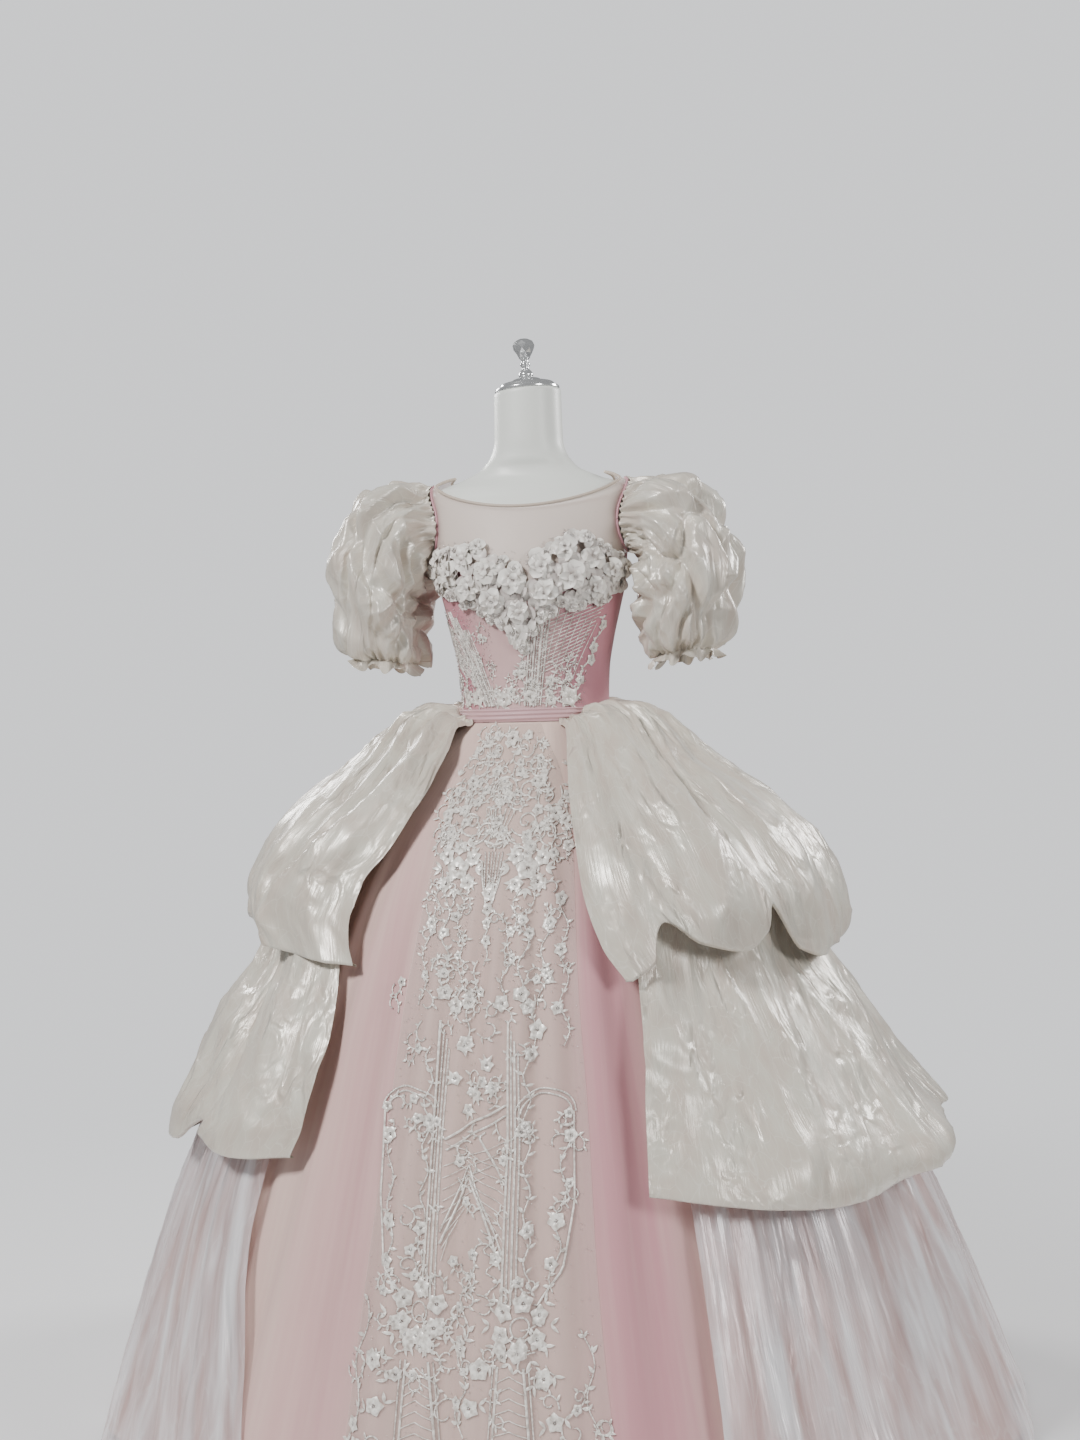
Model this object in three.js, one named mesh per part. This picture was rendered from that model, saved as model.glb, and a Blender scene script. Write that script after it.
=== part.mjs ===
// Ball gown on a dress form: a sheer yoke over a boned bodice, short puff sleeves, a full tulle skirt
// with a lace front, and two tiers and a sheer overlay of crinkled organza, open at the front.
// Millimetres, +Z up. The front faces -Y and the wearer's left side is +X. The origin is the middle of
// the stand's flat underside. An angle round the gown is 0 at the centre front and grows towards +X.
import * as THREE from "three";

// Driving dimensions

const DEGREE = Math.PI / 180;
const CLOTH = 1.2; // wall of the bodice, yoke and skirt
const ORGANZA = 1.5; // wall of the sleeves and tiers, with their turned edges
const SEAM = 0.4; // space between two pieces at a seam

const WAIST_Z = 1071; // seam of bodice and skirt
const BAND_TOP_Z = 1092;
const BODICE_TOP_Z = 1330;
const NECK_FRONT_Z = 1400;
const NECK_SIDE_Z = 1457;
const NECK_TOP_Z = 1590;
const HEM_Z = 8; // the hem hangs just clear of the floor

const FORM_BOTTOM_Z = 930;
const POLE_RADIUS = 16;
const BASE_RADIUS = 190;
const BASE_HEIGHT = 16;
const NECK_TILT = 0.06; // the top of the neck rises towards +X by this slope

const ARMHOLE = { z: 1390, tall: 57, spread: 24 * DEGREE }; // an oval round the side of the chest
const CHEST_RADIUS = 150;
const BUST = { z: 1283, tall: 42, angle: 31 * DEGREE, spread: 21 * DEGREE, rise: 11 };

// The skirt's sections settle a little back and to the side towards the floor.
const SWEEP = { x: 10, y: 50 };
const WAIST_DEPTH = 0.78; // depth over width of the waist; wide sections are round
const ROUND_FROM = 118;
const ROUND_AT = 300;

// Tables: a smooth curve runs through each named column

function table(names, rows) {
  const sorted = [...rows].sort((a, b) => a[0] - b[0]);
  const keys = sorted.map((row) => row[0]);
  const curves = {};
  names.slice(1).forEach((name, column) => {
    const values = sorted.map((row) => row[column + 1]);
    curves[name] = (at) => through(keys, values, at);
  });
  return curves;
}

// A cubic through the points that never overshoots them
function through(keys, values, at) {
  const last = keys.length - 1;
  if (at <= keys[0]) return values[0];
  if (at >= keys[last]) return values[last];
  const rise = (i) => (values[i + 1] - values[i]) / (keys[i + 1] - keys[i]);
  const slope = (i) => {
    if (i === 0) return rise(0);
    if (i === last) return rise(last - 1);
    const product = rise(i - 1) * rise(i);
    return product <= 0 ? 0 : (2 * product) / (rise(i - 1) + rise(i));
  };
  const k = keys.findIndex((key) => key >= at) - 1;
  const width = keys[k + 1] - keys[k];
  const t = (at - keys[k]) / width;
  const bend = 3 * t * t - 2 * t * t * t;
  const start = t * (1 - t) * (1 - t) * width * slope(k);
  const end = t * t * (t - 1) * width * slope(k + 1);
  return values[k] + (values[k + 1] - values[k]) * bend + start + end;
}

const FIGURE = table(
  ["z", "half", "front", "back"],
  [
    [930, 155, 110, 114],
    [965, 154, 110, 113],
    [1005, 141, 104, 105],
    [1040, 125, 96, 96],
    [1071, 118.5, 92, 92],
    [1105, 117.5, 91, 88],
    [1150, 119.5, 95, 88],
    [1200, 128, 104, 92],
    [1250, 140, 113, 97],
    [1290, 149, 116, 100],
    [1330, 152, 110, 100],
    [1370, 154, 99, 99],
    [1400, 157, 88, 95],
    [1425, 161, 76, 87],
    [1442, 158, 66, 77],
    [1452, 138, 58, 67],
    [1461, 108, 52, 59],
    [1471, 80, 49, 54],
    [1487, 62, 49, 51],
    [1512, 54.5, 51, 51],
    [1590, 53, 52, 52],
  ],
);

// How far the form's surface lies inside the gown's: close at the waist, looser under the yoke
const FORM_INSET = table(
  ["z", "inset"],
  [
    [930, 6],
    [1071, 2.1],
    [1105, 2.1],
    [1250, 4],
    [1400, 7],
    [1425, 9],
    [1457, 8],
    [1480, 0],
  ],
);

const SKIRT = table(
  ["z", "radius"],
  [
    [8, 703],
    [100, 666],
    [200, 626],
    [300, 586],
    [400, 546],
    [500, 504],
    [600, 462],
    [700, 418],
    [800, 370],
    [850, 340],
    [900, 304],
    [950, 260],
    [1000, 210],
    [1040, 163],
    [1071, 118],
  ],
);

// Half the width of the front skirt panel
const FRONT_PANEL = table(
  ["z", "half"],
  [
    [8, 182],
    [400, 140],
    [700, 114],
    [900, 100],
    [1000, 90],
    [1071, 74],
  ],
);

// How far each tier swings out from its seam, from 0 at the seam to 1 where it starts to fall
const UPPER_RISE = table(
  ["v", "radius", "z"],
  [
    [0, 122.6, 1077],
    [0.3, 136, 1095],
    [0.6, 166, 1098],
    [1, 214, 1076],
  ],
);
const LOWER_RISE = table(
  ["v", "radius", "z"],
  [
    [0, 308.2, 899],
    [0.5, 340, 892],
    [1, 386, 852],
  ],
);
const OVERLAY_RISE = table(
  ["v", "radius", "z"],
  [
    [0, 487.5, 556],
    [1, 504, 536],
  ],
);

// Greatest radius of each tier below that
const UPPER_FALL = table(
  ["z", "radius"],
  [
    [700, 461],
    [760, 466],
    [800, 467],
    [826, 462],
    [888, 426],
    [948, 364],
    [1010, 287],
    [1042, 252],
    [1076, 214],
  ],
);
const LOWER_FALL = table(
  ["z", "radius"],
  [
    [400, 619],
    [440, 622],
    [471, 616],
    [500, 602],
    [530, 580],
    [584, 536],
    [643, 493],
    [674, 470],
    [735, 432],
    [770, 420],
    [800, 411],
    [852, 386],
  ],
);
const OVERLAY_FALL = table(
  ["z", "radius"],
  [
    [8, 729],
    [100, 692],
    [200, 651],
    [300, 611],
    [378, 579],
    [450, 548],
    [536, 504],
  ],
);

// Front edge and hem of each tier, by side. The hems are swagged up into uneven scallops.
const UPPER_EDGE = {
  1: table(
    ["z", "angle"],
    [[724, 24.5], [770, 21], [860, 18.5], [950, 19], [1010, 22], [1076, 31], [1098, 33]],
  ),
  "-1": table(
    ["z", "angle"],
    [[740, 26], [770, 23], [880, 21.5], [960, 23], [1020, 30], [1076, 52], [1098, 58]],
  ),
};
const LOWER_EDGE = {
  1: table(["z", "angle"], [[464, 23], [580, 24.5], [735, 27.5], [900, 30]]),
  "-1": table(["z", "angle"], [[500, 24.5], [620, 26], [735, 27], [900, 30]]),
};
const OVERLAY_EDGE = {
  1: table(["z", "angle"], [[8, 27], [200, 28], [556, 30]]),
  "-1": table(["z", "angle"], [[8, 26], [200, 31], [400, 37], [556, 38]]),
};
const UPPER_HEM = {
  1: table(
    ["angle", "z"],
    [[24, 724], [30, 745], [35, 800], [40, 768], [48, 752], [54, 772], [57, 812], [63, 740], [70, 722],
      [84, 735], [97, 785], [104, 806], [112, 765], [124, 742], [136, 762], [143, 806], [151, 765],
      [164, 742], [180, 776]],
  ),
  "-1": table(
    ["angle", "z"],
    [[24, 741], [34, 756], [46, 772], [55, 800], [60, 806], [66, 760], [76, 738], [88, 752], [97, 800],
      [106, 765], [120, 740], [132, 768], [140, 806], [149, 766], [163, 742], [180, 776]],
  ),
};
const LOWER_HEM = {
  1: table(
    ["angle", "z"],
    [[22, 464], [37, 440], [49, 426], [57, 425], [70, 433], [80, 470], [88, 480], [98, 420], [112, 436],
      [128, 470], [140, 432], [158, 420], [180, 446]],
  ),
  "-1": table(
    ["angle", "z"],
    [[22, 506], [32, 489], [44, 494], [50, 505], [60, 452], [72, 442], [84, 480], [92, 486], [104, 440],
      [122, 470], [138, 436], [158, 420], [180, 446]],
  ),
};

const FLOOR_HEM = { 1: { z: () => HEM_Z }, "-1": { z: () => HEM_Z } };

// Outline of the puff sleeve in the front view, from the armhole (0) to the cuff (1), with half its depth
const PUFF = table(
  ["v", "outX", "outZ", "inX", "inZ", "deep"],
  [
    [0, 166, 1451, 164, 1331, 58],
    [0.14, 207, 1459, 165, 1316, 84],
    [0.28, 262, 1442, 165, 1296, 104],
    [0.42, 303, 1402, 165, 1272, 114],
    [0.56, 325, 1350, 165, 1246, 117],
    [0.7, 333, 1289, 167, 1218, 112],
    [0.85, 318, 1222, 176, 1188, 92],
    [1, 283, 1180, 196, 1170, 58],
  ],
);

// Heads of the bust flowers: angle from the front, height, radius and how far they stand out
const BUST_FLOWERS = [
  { angle: -60, z: 1322, radius: 19, rise: 8 },
  { angle: -47, z: 1300, radius: 21, rise: 10 },
  { angle: -34, z: 1318, radius: 18, rise: 8 },
  { angle: -32, z: 1278, radius: 20, rise: 10 },
  { angle: -19, z: 1300, radius: 20, rise: 10 },
  { angle: -17, z: 1262, radius: 19, rise: 9 },
  { angle: -3, z: 1288, radius: 22, rise: 12 },
  { angle: -1, z: 1245, radius: 18, rise: 8 },
  { angle: 2, z: 1206, radius: 13, rise: 6 },
  { angle: 14, z: 1306, radius: 19, rise: 9 },
  { angle: 17, z: 1268, radius: 20, rise: 10 },
  { angle: 27, z: 1330, radius: 19, rise: 8 },
  { angle: 33, z: 1290, radius: 22, rise: 12 },
  { angle: 45, z: 1312, radius: 20, rise: 9 },
  { angle: 48, z: 1272, radius: 18, rise: 8 },
  { angle: 61, z: 1294, radius: 19, rise: 9 },
];
const APPLIQUE = table(
  ["angle", "top", "bottom"],
  [
    [-68, 1338, 1290],
    [-45, 1332, 1262],
    [-28, 1340, 1244],
    [-8, 1312, 1212],
    [2, 1306, 1184],
    [10, 1318, 1220],
    [28, 1352, 1248],
    [45, 1340, 1250],
    [68, 1322, 1272],
  ],
);

// Finishes

const FINISH = {
  form: new THREE.MeshStandardMaterial({ color: 0xe9ece4, roughness: 0.35, metalness: 0 }),
  silver: new THREE.MeshStandardMaterial({ color: 0xc9cac8, roughness: 0.18, metalness: 1 }),
  stand: new THREE.MeshStandardMaterial({ color: 0xe4e4e0, roughness: 0.4, metalness: 0 }),
  mesh: new THREE.MeshStandardMaterial({ color: 0xdfdccd, roughness: 0.7, metalness: 0 }),
  binding: new THREE.MeshStandardMaterial({ color: 0xcdbcae, roughness: 0.6, metalness: 0 }),
  piping: new THREE.MeshStandardMaterial({ color: 0xd08f9a, roughness: 0.6, metalness: 0 }),
  bodice: new THREE.MeshStandardMaterial({ color: 0xcf9aa4, roughness: 0.5, metalness: 0 }),
  band: new THREE.MeshStandardMaterial({ color: 0xd08e9b, roughness: 0.5, metalness: 0 }),
  petal: new THREE.MeshStandardMaterial({ color: 0xf1efe8, roughness: 0.6, metalness: 0 }),
  lace: new THREE.MeshStandardMaterial({ color: 0xe2dad0, roughness: 0.5, metalness: 0 }),
  organza: new THREE.MeshStandardMaterial({ color: 0xe6e4d8, roughness: 0.25, metalness: 0 }),
  sheer: new THREE.MeshStandardMaterial({ color: 0xe2d8d8, roughness: 0.3, metalness: 0 }),
  tulleCream: new THREE.MeshStandardMaterial({ color: 0xe6d0c0, roughness: 0.8, metalness: 0 }),
  tullePink: new THREE.MeshStandardMaterial({ color: 0xd9a9ae, roughness: 0.8, metalness: 0 }),
  tulleBlush: new THREE.MeshStandardMaterial({ color: 0xe0c3bf, roughness: 0.8, metalness: 0 }),
};

// Shapes

const lerp = THREE.MathUtils.lerp;
const smoothstep = THREE.MathUtils.smoothstep;
const gown = new THREE.Group();

function add(name, geometry, material) {
  const piece = new THREE.Mesh(geometry, material);
  piece.name = name;
  gown.add(piece);
  return piece;
}

// Evenly spaced values from first to last
function steps(first, last, count) {
  return Array.from({ length: count + 1 }, (_, k) => lerp(first, last, k / count));
}

// Unit normal of the surface `at` that faces away from the wearer. `hand` is -1 where the
// parameters run the other way round.
function outward(at, u, v, down, hand) {
  const du = 1e-4;
  const dv = 1e-4 * (down.at(-1) - down[0]);
  const across = at(u + du, v).sub(at(u - du, v));
  const along = at(u, v + dv).sub(at(u, v - dv));
  return along.cross(across).normalize().multiplyScalar(hand);
}

// A wall of cloth: the surface `at`(u, v) lifted by `lift`, with its inner face `thick` behind it, or
// plain and lifted by `seat`. Cells for which `open` is true are left out, and a ring joins its last
// column to its first.
function wall({ at, across, down, lift = () => 0, thick, seat, open = () => false, hand = 1, ring = false }) {
  const columns = across.length - 1;
  const rows = down.length - 1;
  const outer = [];
  const inner = [];
  for (const v of down) {
    for (const u of across) {
      const normal = outward(at, u, v, down, hand);
      const height = lift(u, v);
      outer.push(at(u, v).addScaledVector(normal, height));
      inner.push(at(u, v).addScaledVector(normal, seat ?? height - thick));
    }
  }
  const points = [...outer, ...inner];
  const index = [];
  const corner = (i, j) => j * (columns + 1) + (ring ? i % columns : i);
  const present = (i, j) => {
    const column = ring ? (i + columns) % columns : i;
    return column >= 0 && column < columns && j >= 0 && j < rows && !open(column, j);
  };
  const triangle = (a, b, c) => index.push(...(hand > 0 ? [a, b, c] : [a, c, b]));
  for (let j = 0; j < rows; j++) {
    for (let i = 0; i < columns; i++) {
      if (!present(i, j)) continue;
      const loop = [corner(i, j), corner(i, j + 1), corner(i + 1, j + 1), corner(i + 1, j)];
      const beside = [present(i - 1, j), present(i, j + 1), present(i + 1, j), present(i, j - 1)];
      const behind = loop.map((k) => k + outer.length);
      triangle(loop[0], loop[1], loop[2]);
      triangle(loop[0], loop[2], loop[3]);
      triangle(behind[0], behind[2], behind[1]);
      triangle(behind[0], behind[3], behind[2]);
      beside.forEach((joined, side) => {
        const next = (side + 1) % 4;
        if (joined) return;
        triangle(loop[next], loop[side], behind[side]);
        triangle(loop[next], behind[side], behind[next]);
      });
    }
  }
  return new THREE.BufferGeometry().setFromPoints(points).setIndex(index);
}

// A solid turned from a profile of [radius, z] points, from the bottom to the top of the axis
function turned(profile, segments) {
  const points = profile.map(([radius, z]) => new THREE.Vector2(radius, z));
  return new THREE.LatheGeometry(points, segments).rotateX(Math.PI / 2);
}

// The outside of the worn bodice and yoke, on a general figure
function figure(angle, z) {
  const front = Math.cos(angle) > 0;
  const aside = (Math.abs(angle) - BUST.angle) / BUST.spread;
  const above = (z - BUST.z) / BUST.tall;
  const bust = front ? BUST.rise * Math.exp(-aside * aside - above * above) : 0;
  const depth = front ? FIGURE.front(z) : FIGURE.back(z);
  return new THREE.Vector3(FIGURE.half(z) * Math.sin(angle), -(depth + bust) * Math.cos(angle), z);
}

const UPWARD = [NECK_TOP_Z, FORM_BOTTOM_Z]; // the figure's heights run from the top down

// Half the angle that the front of the yoke spans at a height, up to the armhole's edge
function armholeAngle(z, edge) {
  const above = (z - ARMHOLE.z) / (ARMHOLE.tall + edge);
  return 90 * DEGREE - (ARMHOLE.spread + edge / CHEST_RADIUS) * Math.sqrt(Math.max(0, 1 - above * above));
}

// A place on a skirt layer: sections are oval at the waist, round below, and sweep back
function station(angle, radius, z) {
  const depth = lerp(WAIST_DEPTH, 1, smoothstep(radius, ROUND_FROM, ROUND_AT));
  const reach = radius / Math.hypot(Math.sin(angle), Math.cos(angle) / depth);
  const drop = Math.max(0, (WAIST_Z - z) / WAIST_Z) ** 1.5;
  const x = reach * Math.sin(angle) + SWEEP.x * drop;
  return new THREE.Vector3(x, -reach * Math.cos(angle) + SWEEP.y * drop, z);
}

// Dress form and stand

function dressForm() {
  const heights = [NECK_TOP_Z, 1550, 1512, 1487, 1471, 1461, 1452, 1442, 1425, 1400, 1370, 1330, 1290, 1250,
    1200, 1150, 1105, WAIST_Z, 1005, FORM_BOTTOM_Z];
  const columns = 24;
  const points = [];
  for (const z of heights) {
    for (let i = 0; i < columns; i++) {
      const angle = ((i / columns) * 360 - 180) * DEGREE;
      const normal = outward(figure, angle, z, UPWARD, 1);
      const point = figure(angle, z).addScaledVector(normal, -FORM_INSET.inset(z));
      point.z += point.x * NECK_TILT * smoothstep(z, 1520, NECK_TOP_Z);
      points.push(point);
    }
  }
  const index = [];
  const corner = (i, j) => j * columns + (i % columns);
  for (let j = 0; j < heights.length - 1; j++) {
    for (let i = 0; i < columns; i++) {
      index.push(corner(i, j), corner(i, j + 1), corner(i + 1, j + 1));
      index.push(corner(i, j), corner(i + 1, j + 1), corner(i + 1, j));
    }
  }
  const bottom = heights.length - 1;
  for (let i = 1; i < columns - 1; i++) {
    index.push(corner(0, 0), corner(i, 0), corner(i + 1, 0));
    index.push(corner(0, bottom), corner(i + 1, bottom), corner(i, bottom));
  }
  add("form_torso", new THREE.BufferGeometry().setFromPoints(points).setIndex(index), FINISH.form);
}

function neckCapAndFinial() {
  const head = new THREE.Group();
  head.position.z = NECK_TOP_Z + SEAM;
  head.rotation.y = -Math.atan(NECK_TILT);
  const capHeight = 20;
  const cap = [[0, 0], [51, 0], [51, 5], [44, 7], [42, 12], [26, 15], [19, capHeight], [0, capHeight]];
  const knob = [[0, 0], [9, 0], [12, 6], [9, 12], [5.5, 15], [5.5, 19], [8, 21], [8, 24], [5.5, 26],
    [5.5, 30], [9, 33], [14, 42], [18, 52], [15, 60], [8, 63], [0, 63]];
  const capPiece = add("form_neck_cap", turned(cap, 24), FINISH.silver);
  const knobPiece = add("form_finial", turned(knob, 10), FINISH.silver);
  knobPiece.position.z = capHeight + 0.3;
  head.add(capPiece, knobPiece);
  gown.add(head);
}

function stand() {
  const base = [[0, 0], [BASE_RADIUS, 0], [BASE_RADIUS, 6], [BASE_RADIUS - 8, 11], [40, BASE_HEIGHT - 1],
    [30, BASE_HEIGHT], [0, BASE_HEIGHT]];
  add("stand_base", turned(base, 32), FINISH.stand);
  const foot = BASE_HEIGHT + SEAM;
  const top = FORM_BOTTOM_Z - SEAM;
  const collar = [[0, foot], [28, foot], [28, foot + 12], [POLE_RADIUS, foot + 24], [POLE_RADIUS, top - 20],
    [34, top - 10], [34, top], [0, top]];
  add("stand_pole", turned(collar, 16), FINISH.stand);
}

// Bodice: five panels that close at the centre back, with a band round the waist

const BODICE_SEAMS = [
  ["bodice_back_right", -180, -95, 7],
  ["bodice_side_front_right", -95, -33, 7],
  ["bodice_front", -33, 33, 8],
  ["bodice_side_front_left", 33, 95, 7],
  ["bodice_back_left", 95, 180, 7],
];
const BODICE_ROWS = [BODICE_TOP_Z, 1290, 1250, 1200, 1150, 1105, WAIST_Z];

// Angle at the fraction u between two seams, with half a seam's space left at each
function between(first, last, u, radius) {
  const space = SEAM / 2 / radius;
  return lerp(first * DEGREE + space, last * DEGREE - space, u);
}

function bodice() {
  for (const [name, first, last, columns] of BODICE_SEAMS) {
    const at = (u, z) => figure(between(first, last, u, FIGURE.front(z)), z);
    add(name, wall({ at, across: steps(0, 1, columns), down: BODICE_ROWS, thick: CLOTH }), FINISH.bodice);
  }
  const round = (u, z) => figure((u * 360 - 180) * DEGREE, z);
  const bandThick = 1.8;
  const band = {
    at: round,
    across: steps(0, 1, 36),
    down: [BAND_TOP_Z, WAIST_Z + 1],
    lift: () => SEAM + 0.8 + bandThick,
    thick: bandThick,
    ring: true,
  };
  add("waistband", wall(band), FINISH.band);
}

// Yoke: sheer mesh from the bodice's top edge to a round neckline, seamed at the shoulders

// Height of the neckline at an angle: lowest in front, a little higher at the back
function necklineZ(angle) {
  const low = Math.cos(angle) > 0 ? NECK_FRONT_Z : NECK_FRONT_Z + 32;
  return lerp(NECK_SIDE_Z, low, Math.abs(Math.cos(angle)) ** 1.35);
}

function yoke() {
  const bottom = BODICE_TOP_Z + SEAM;
  const edge = 6; // the yoke stops this far from the middle of the armhole's piping
  const rows = [0, 0.15, 0.4, 0.7, 1];
  const halfTurn = 90 * DEGREE - 0.15 * DEGREE; // leaves half a seam at the shoulder
  // The quarter turn from the centre line (0) to the shoulder seam (1), drawn in round the armhole
  const drawnIn = (reach, v, z) => {
    const room = halfTurn - armholeAngle(z, edge);
    return reach * halfTurn - reach ** 2 * Math.max(0, room) * smoothstep(v, 0, rows[1]);
  };
  const front = (u, v) => {
    const reach = Math.abs(2 * u - 1);
    const z = lerp(necklineZ(reach * halfTurn), bottom, v);
    return figure(Math.sign(2 * u - 1) * drawnIn(reach, v, z), z);
  };
  add("yoke_front", wall({ at: front, across: steps(0, 1, 18), down: rows, thick: CLOTH }), FINISH.mesh);
  const back = (side) => (u, v) => {
    const reach = side > 0 ? 1 - u : u;
    const z = lerp(necklineZ(180 * DEGREE - reach * halfTurn), bottom, v);
    const centreBack = 180 * DEGREE - 0.15 * DEGREE * (1 - reach);
    return figure(side * (centreBack - drawnIn(reach, v, z)), z);
  };
  for (const [name, side] of [["yoke_back_left", 1], ["yoke_back_right", -1]]) {
    add(name, wall({ at: back(side), across: steps(0, 1, 9), down: rows, thick: CLOTH }), FINISH.mesh);
  }
}

// A narrow covered cord that runs round a closed edge, lifted off the surface of the figure
function trimCord(name, place, count, radius, material) {
  const path = new THREE.CatmullRomCurve3(steps(0, 1, count).slice(0, -1).map(place), true);
  add(name, new THREE.TubeGeometry(path, count, radius, 5, true), material);
}

function trims() {
  const radius = 2.4;
  const neckline = (t) => {
    const angle = (t * 360 - 180) * DEGREE;
    const z = necklineZ(angle);
    const normal = outward(figure, angle, z, UPWARD, 1);
    const up = figure(angle, z + 0.5).sub(figure(angle, z - 0.5)).normalize();
    return figure(angle, z).addScaledVector(up, radius + 3.6).addScaledVector(normal, radius - 0.4);
  };
  trimCord("neck_binding", neckline, 30, radius, FINISH.binding);
  for (const [name, side] of [["armhole_piping_left", 1], ["armhole_piping_right", -1]]) {
    trimCord(name, (t) => armhole(t * 360 * DEGREE, side, 1.2), 24, 1.9, FINISH.piping);
  }
}

// The armhole's edge: turn 0 is the shoulder point, a quarter turn is its front
function armhole(turn, side, lift) {
  const z = ARMHOLE.z + ARMHOLE.tall * Math.cos(turn);
  const angle = side * (90 * DEGREE - ARMHOLE.spread * Math.sin(turn));
  const normal = outward(figure, angle, z, UPWARD, 1);
  return figure(angle, z).addScaledVector(normal, lift);
}

// Puff sleeves: crumpled organza gathered into the armhole and into a frilled cuff

const PUFF_CREASE = 7;
const PUFF_ROWS = [0, 0.06, 0.16, 0.28, 0.4, 0.52, 0.64, 0.76, 0.88, 1];
const FRILL_DROP = 15;

// One ring of the sleeve at v between armhole and cuff
function puffPoint(turn, v, side) {
  const outer = new THREE.Vector3(side * PUFF.outX(v), 0, PUFF.outZ(v));
  const inner = new THREE.Vector3(side * PUFF.inX(v), 0, PUFF.inZ(v));
  const middle = outer.clone().add(inner).multiplyScalar(0.5);
  const half = outer.sub(inner).multiplyScalar(0.5);
  const point = middle.addScaledVector(half, Math.cos(turn));
  point.y -= PUFF.deep(v) * Math.sin(turn);
  return armhole(turn, side, 4.5).lerp(point, smoothstep(v, 0, 0.16));
}

function sleeves() {
  for (const [name, side] of [["left", 1], ["right", -1]]) {
    const at = (u, v) => puffPoint(u * 360 * DEGREE, v, side);
    const crease = (u, v) => {
      const turn = u * 360 * DEGREE;
      const swirl = 1.2 * Math.sin(2 * turn + 4 * v + side);
      const long = Math.sin(4 * turn + 6 * v + swirl + side);
      const cross = Math.sin(2 * turn - 11 * v + 2 * side);
      return PUFF_CREASE * (0.65 * long + 0.35 * cross) * Math.sqrt(Math.sin(Math.PI * Math.min(1, v)));
    };
    const across = steps(0, 1, 24);
    const shape = { at, across, down: PUFF_ROWS, lift: crease, thick: ORGANZA, hand: -side, ring: true };
    add("sleeve_" + name, wall(shape), FINISH.organza);
    const frill = (u, v) => {
      const turn = u * 360 * DEGREE;
      const reach = 1 + v * (0.16 + 0.1 * Math.sin(6 * turn));
      const centre = new THREE.Vector3((side * (PUFF.outX(1) + PUFF.inX(1))) / 2, 0, PUFF.inZ(1) + 4);
      const point = puffPoint(turn, 1, side).sub(centre).multiplyScalar(reach).add(centre);
      point.z -= SEAM + 0.4 + v * FRILL_DROP;
      return point;
    };
    const cuff = { at: frill, across, down: [0, 1], thick: ORGANZA, hand: -side, ring: true };
    add("sleeve_frill_" + name, wall(cuff), FINISH.organza);
  }
}

// Skirt: seven gored panels in soft upright folds

const SKIRT_ROWS = [WAIST_Z - SEAM, 1035, 985, 899, 760, 556, 300, HEM_Z];
const SKIRT_FOLD = 9; // how far the folds swing at the hem, either way
const SKIRT_FOLDS = 20;

function skirtAt(angle, z) {
  const fold = (SKIRT_FOLD * (WAIST_Z - z)) / WAIST_Z;
  const wave = Math.sin(SKIRT_FOLDS * angle + 0.8 * Math.sin(3 * angle));
  return station(angle, SKIRT.radius(z) + fold * wave, z);
}

function frontSeam(z) {
  return FRONT_PANEL.half(z) / SKIRT.radius(z) / DEGREE;
}

const SIDE_FRONT_SEAM = 48;
const SIDE_SEAM = 112;

function skirtPanel(first, last) {
  return (u, z) => skirtAt(between(first(z), last(z), u, SKIRT.radius(z)), z);
}

const skirtFront = skirtPanel((z) => -frontSeam(z), frontSeam);
const SKIRT_FRONT_COLUMNS = 8;

function skirt() {
  const fixed = (angle) => () => angle;
  const panels = [
    ["skirt_back_right", fixed(-180), fixed(-SIDE_SEAM), 9, FINISH.tulleBlush],
    ["skirt_side_right", fixed(-SIDE_SEAM), fixed(-SIDE_FRONT_SEAM), 9, FINISH.tulleBlush],
    ["skirt_side_front_right", fixed(-SIDE_FRONT_SEAM), (z) => -frontSeam(z), 8, FINISH.tullePink],
    ["skirt_side_front_left", frontSeam, fixed(SIDE_FRONT_SEAM), 8, FINISH.tullePink],
    ["skirt_side_left", fixed(SIDE_FRONT_SEAM), fixed(SIDE_SEAM), 9, FINISH.tulleBlush],
    ["skirt_back_left", fixed(SIDE_SEAM), fixed(180), 9, FINISH.tulleBlush],
  ];
  const front = { at: skirtFront, across: steps(0, 1, SKIRT_FRONT_COLUMNS), down: SKIRT_ROWS, thick: CLOTH };
  add("skirt_front", wall(front), FINISH.tulleCream);
  for (const [name, first, last, columns, material] of panels) {
    const at = skirtPanel(first, last);
    add(name, wall({ at, across: steps(0, 1, columns), down: SKIRT_ROWS, thick: CLOTH }), material);
  }
}

// Lace: a sheet on the facets of the panel beneath, with its gaps cut through

// The interval of a rising or falling list that holds a value, and how far along it the value is
function cellOf(list, value) {
  const rising = list.at(-1) > list[0];
  const passed = list.filter((edge) => (rising ? edge <= value : edge >= value)).length;
  const cell = THREE.MathUtils.clamp(passed - 1, 0, list.length - 2);
  return [cell, (value - list[cell]) / (list[cell + 1] - list[cell])];
}

// The point of a faceted panel at (u, v), with the panel's own corners and diagonals
function onFacets(at, across, down, u, v) {
  const [i, a] = cellOf(across, u);
  const [j, b] = cellOf(down, v);
  const near = at(across[i], down[j]);
  const far = at(across[i + 1], down[j + 1]);
  const turn = a > b ? at(across[i + 1], down[j]) : at(across[i], down[j + 1]);
  const first = a > b ? a : b;
  const second = a > b ? b : a;
  return near
    .clone()
    .addScaledVector(turn.clone().sub(near), first)
    .addScaledVector(far.sub(turn), second);
}

const LACE_THICK = 1.1;
const LACE_LIFT = 0.7 + LACE_THICK;

// Splits each interval of a list into equal parts
function split(list, parts) {
  return [list[0], ...list.slice(1).flatMap((last, k) => steps(list[k], last, parts).slice(1))];
}

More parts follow.
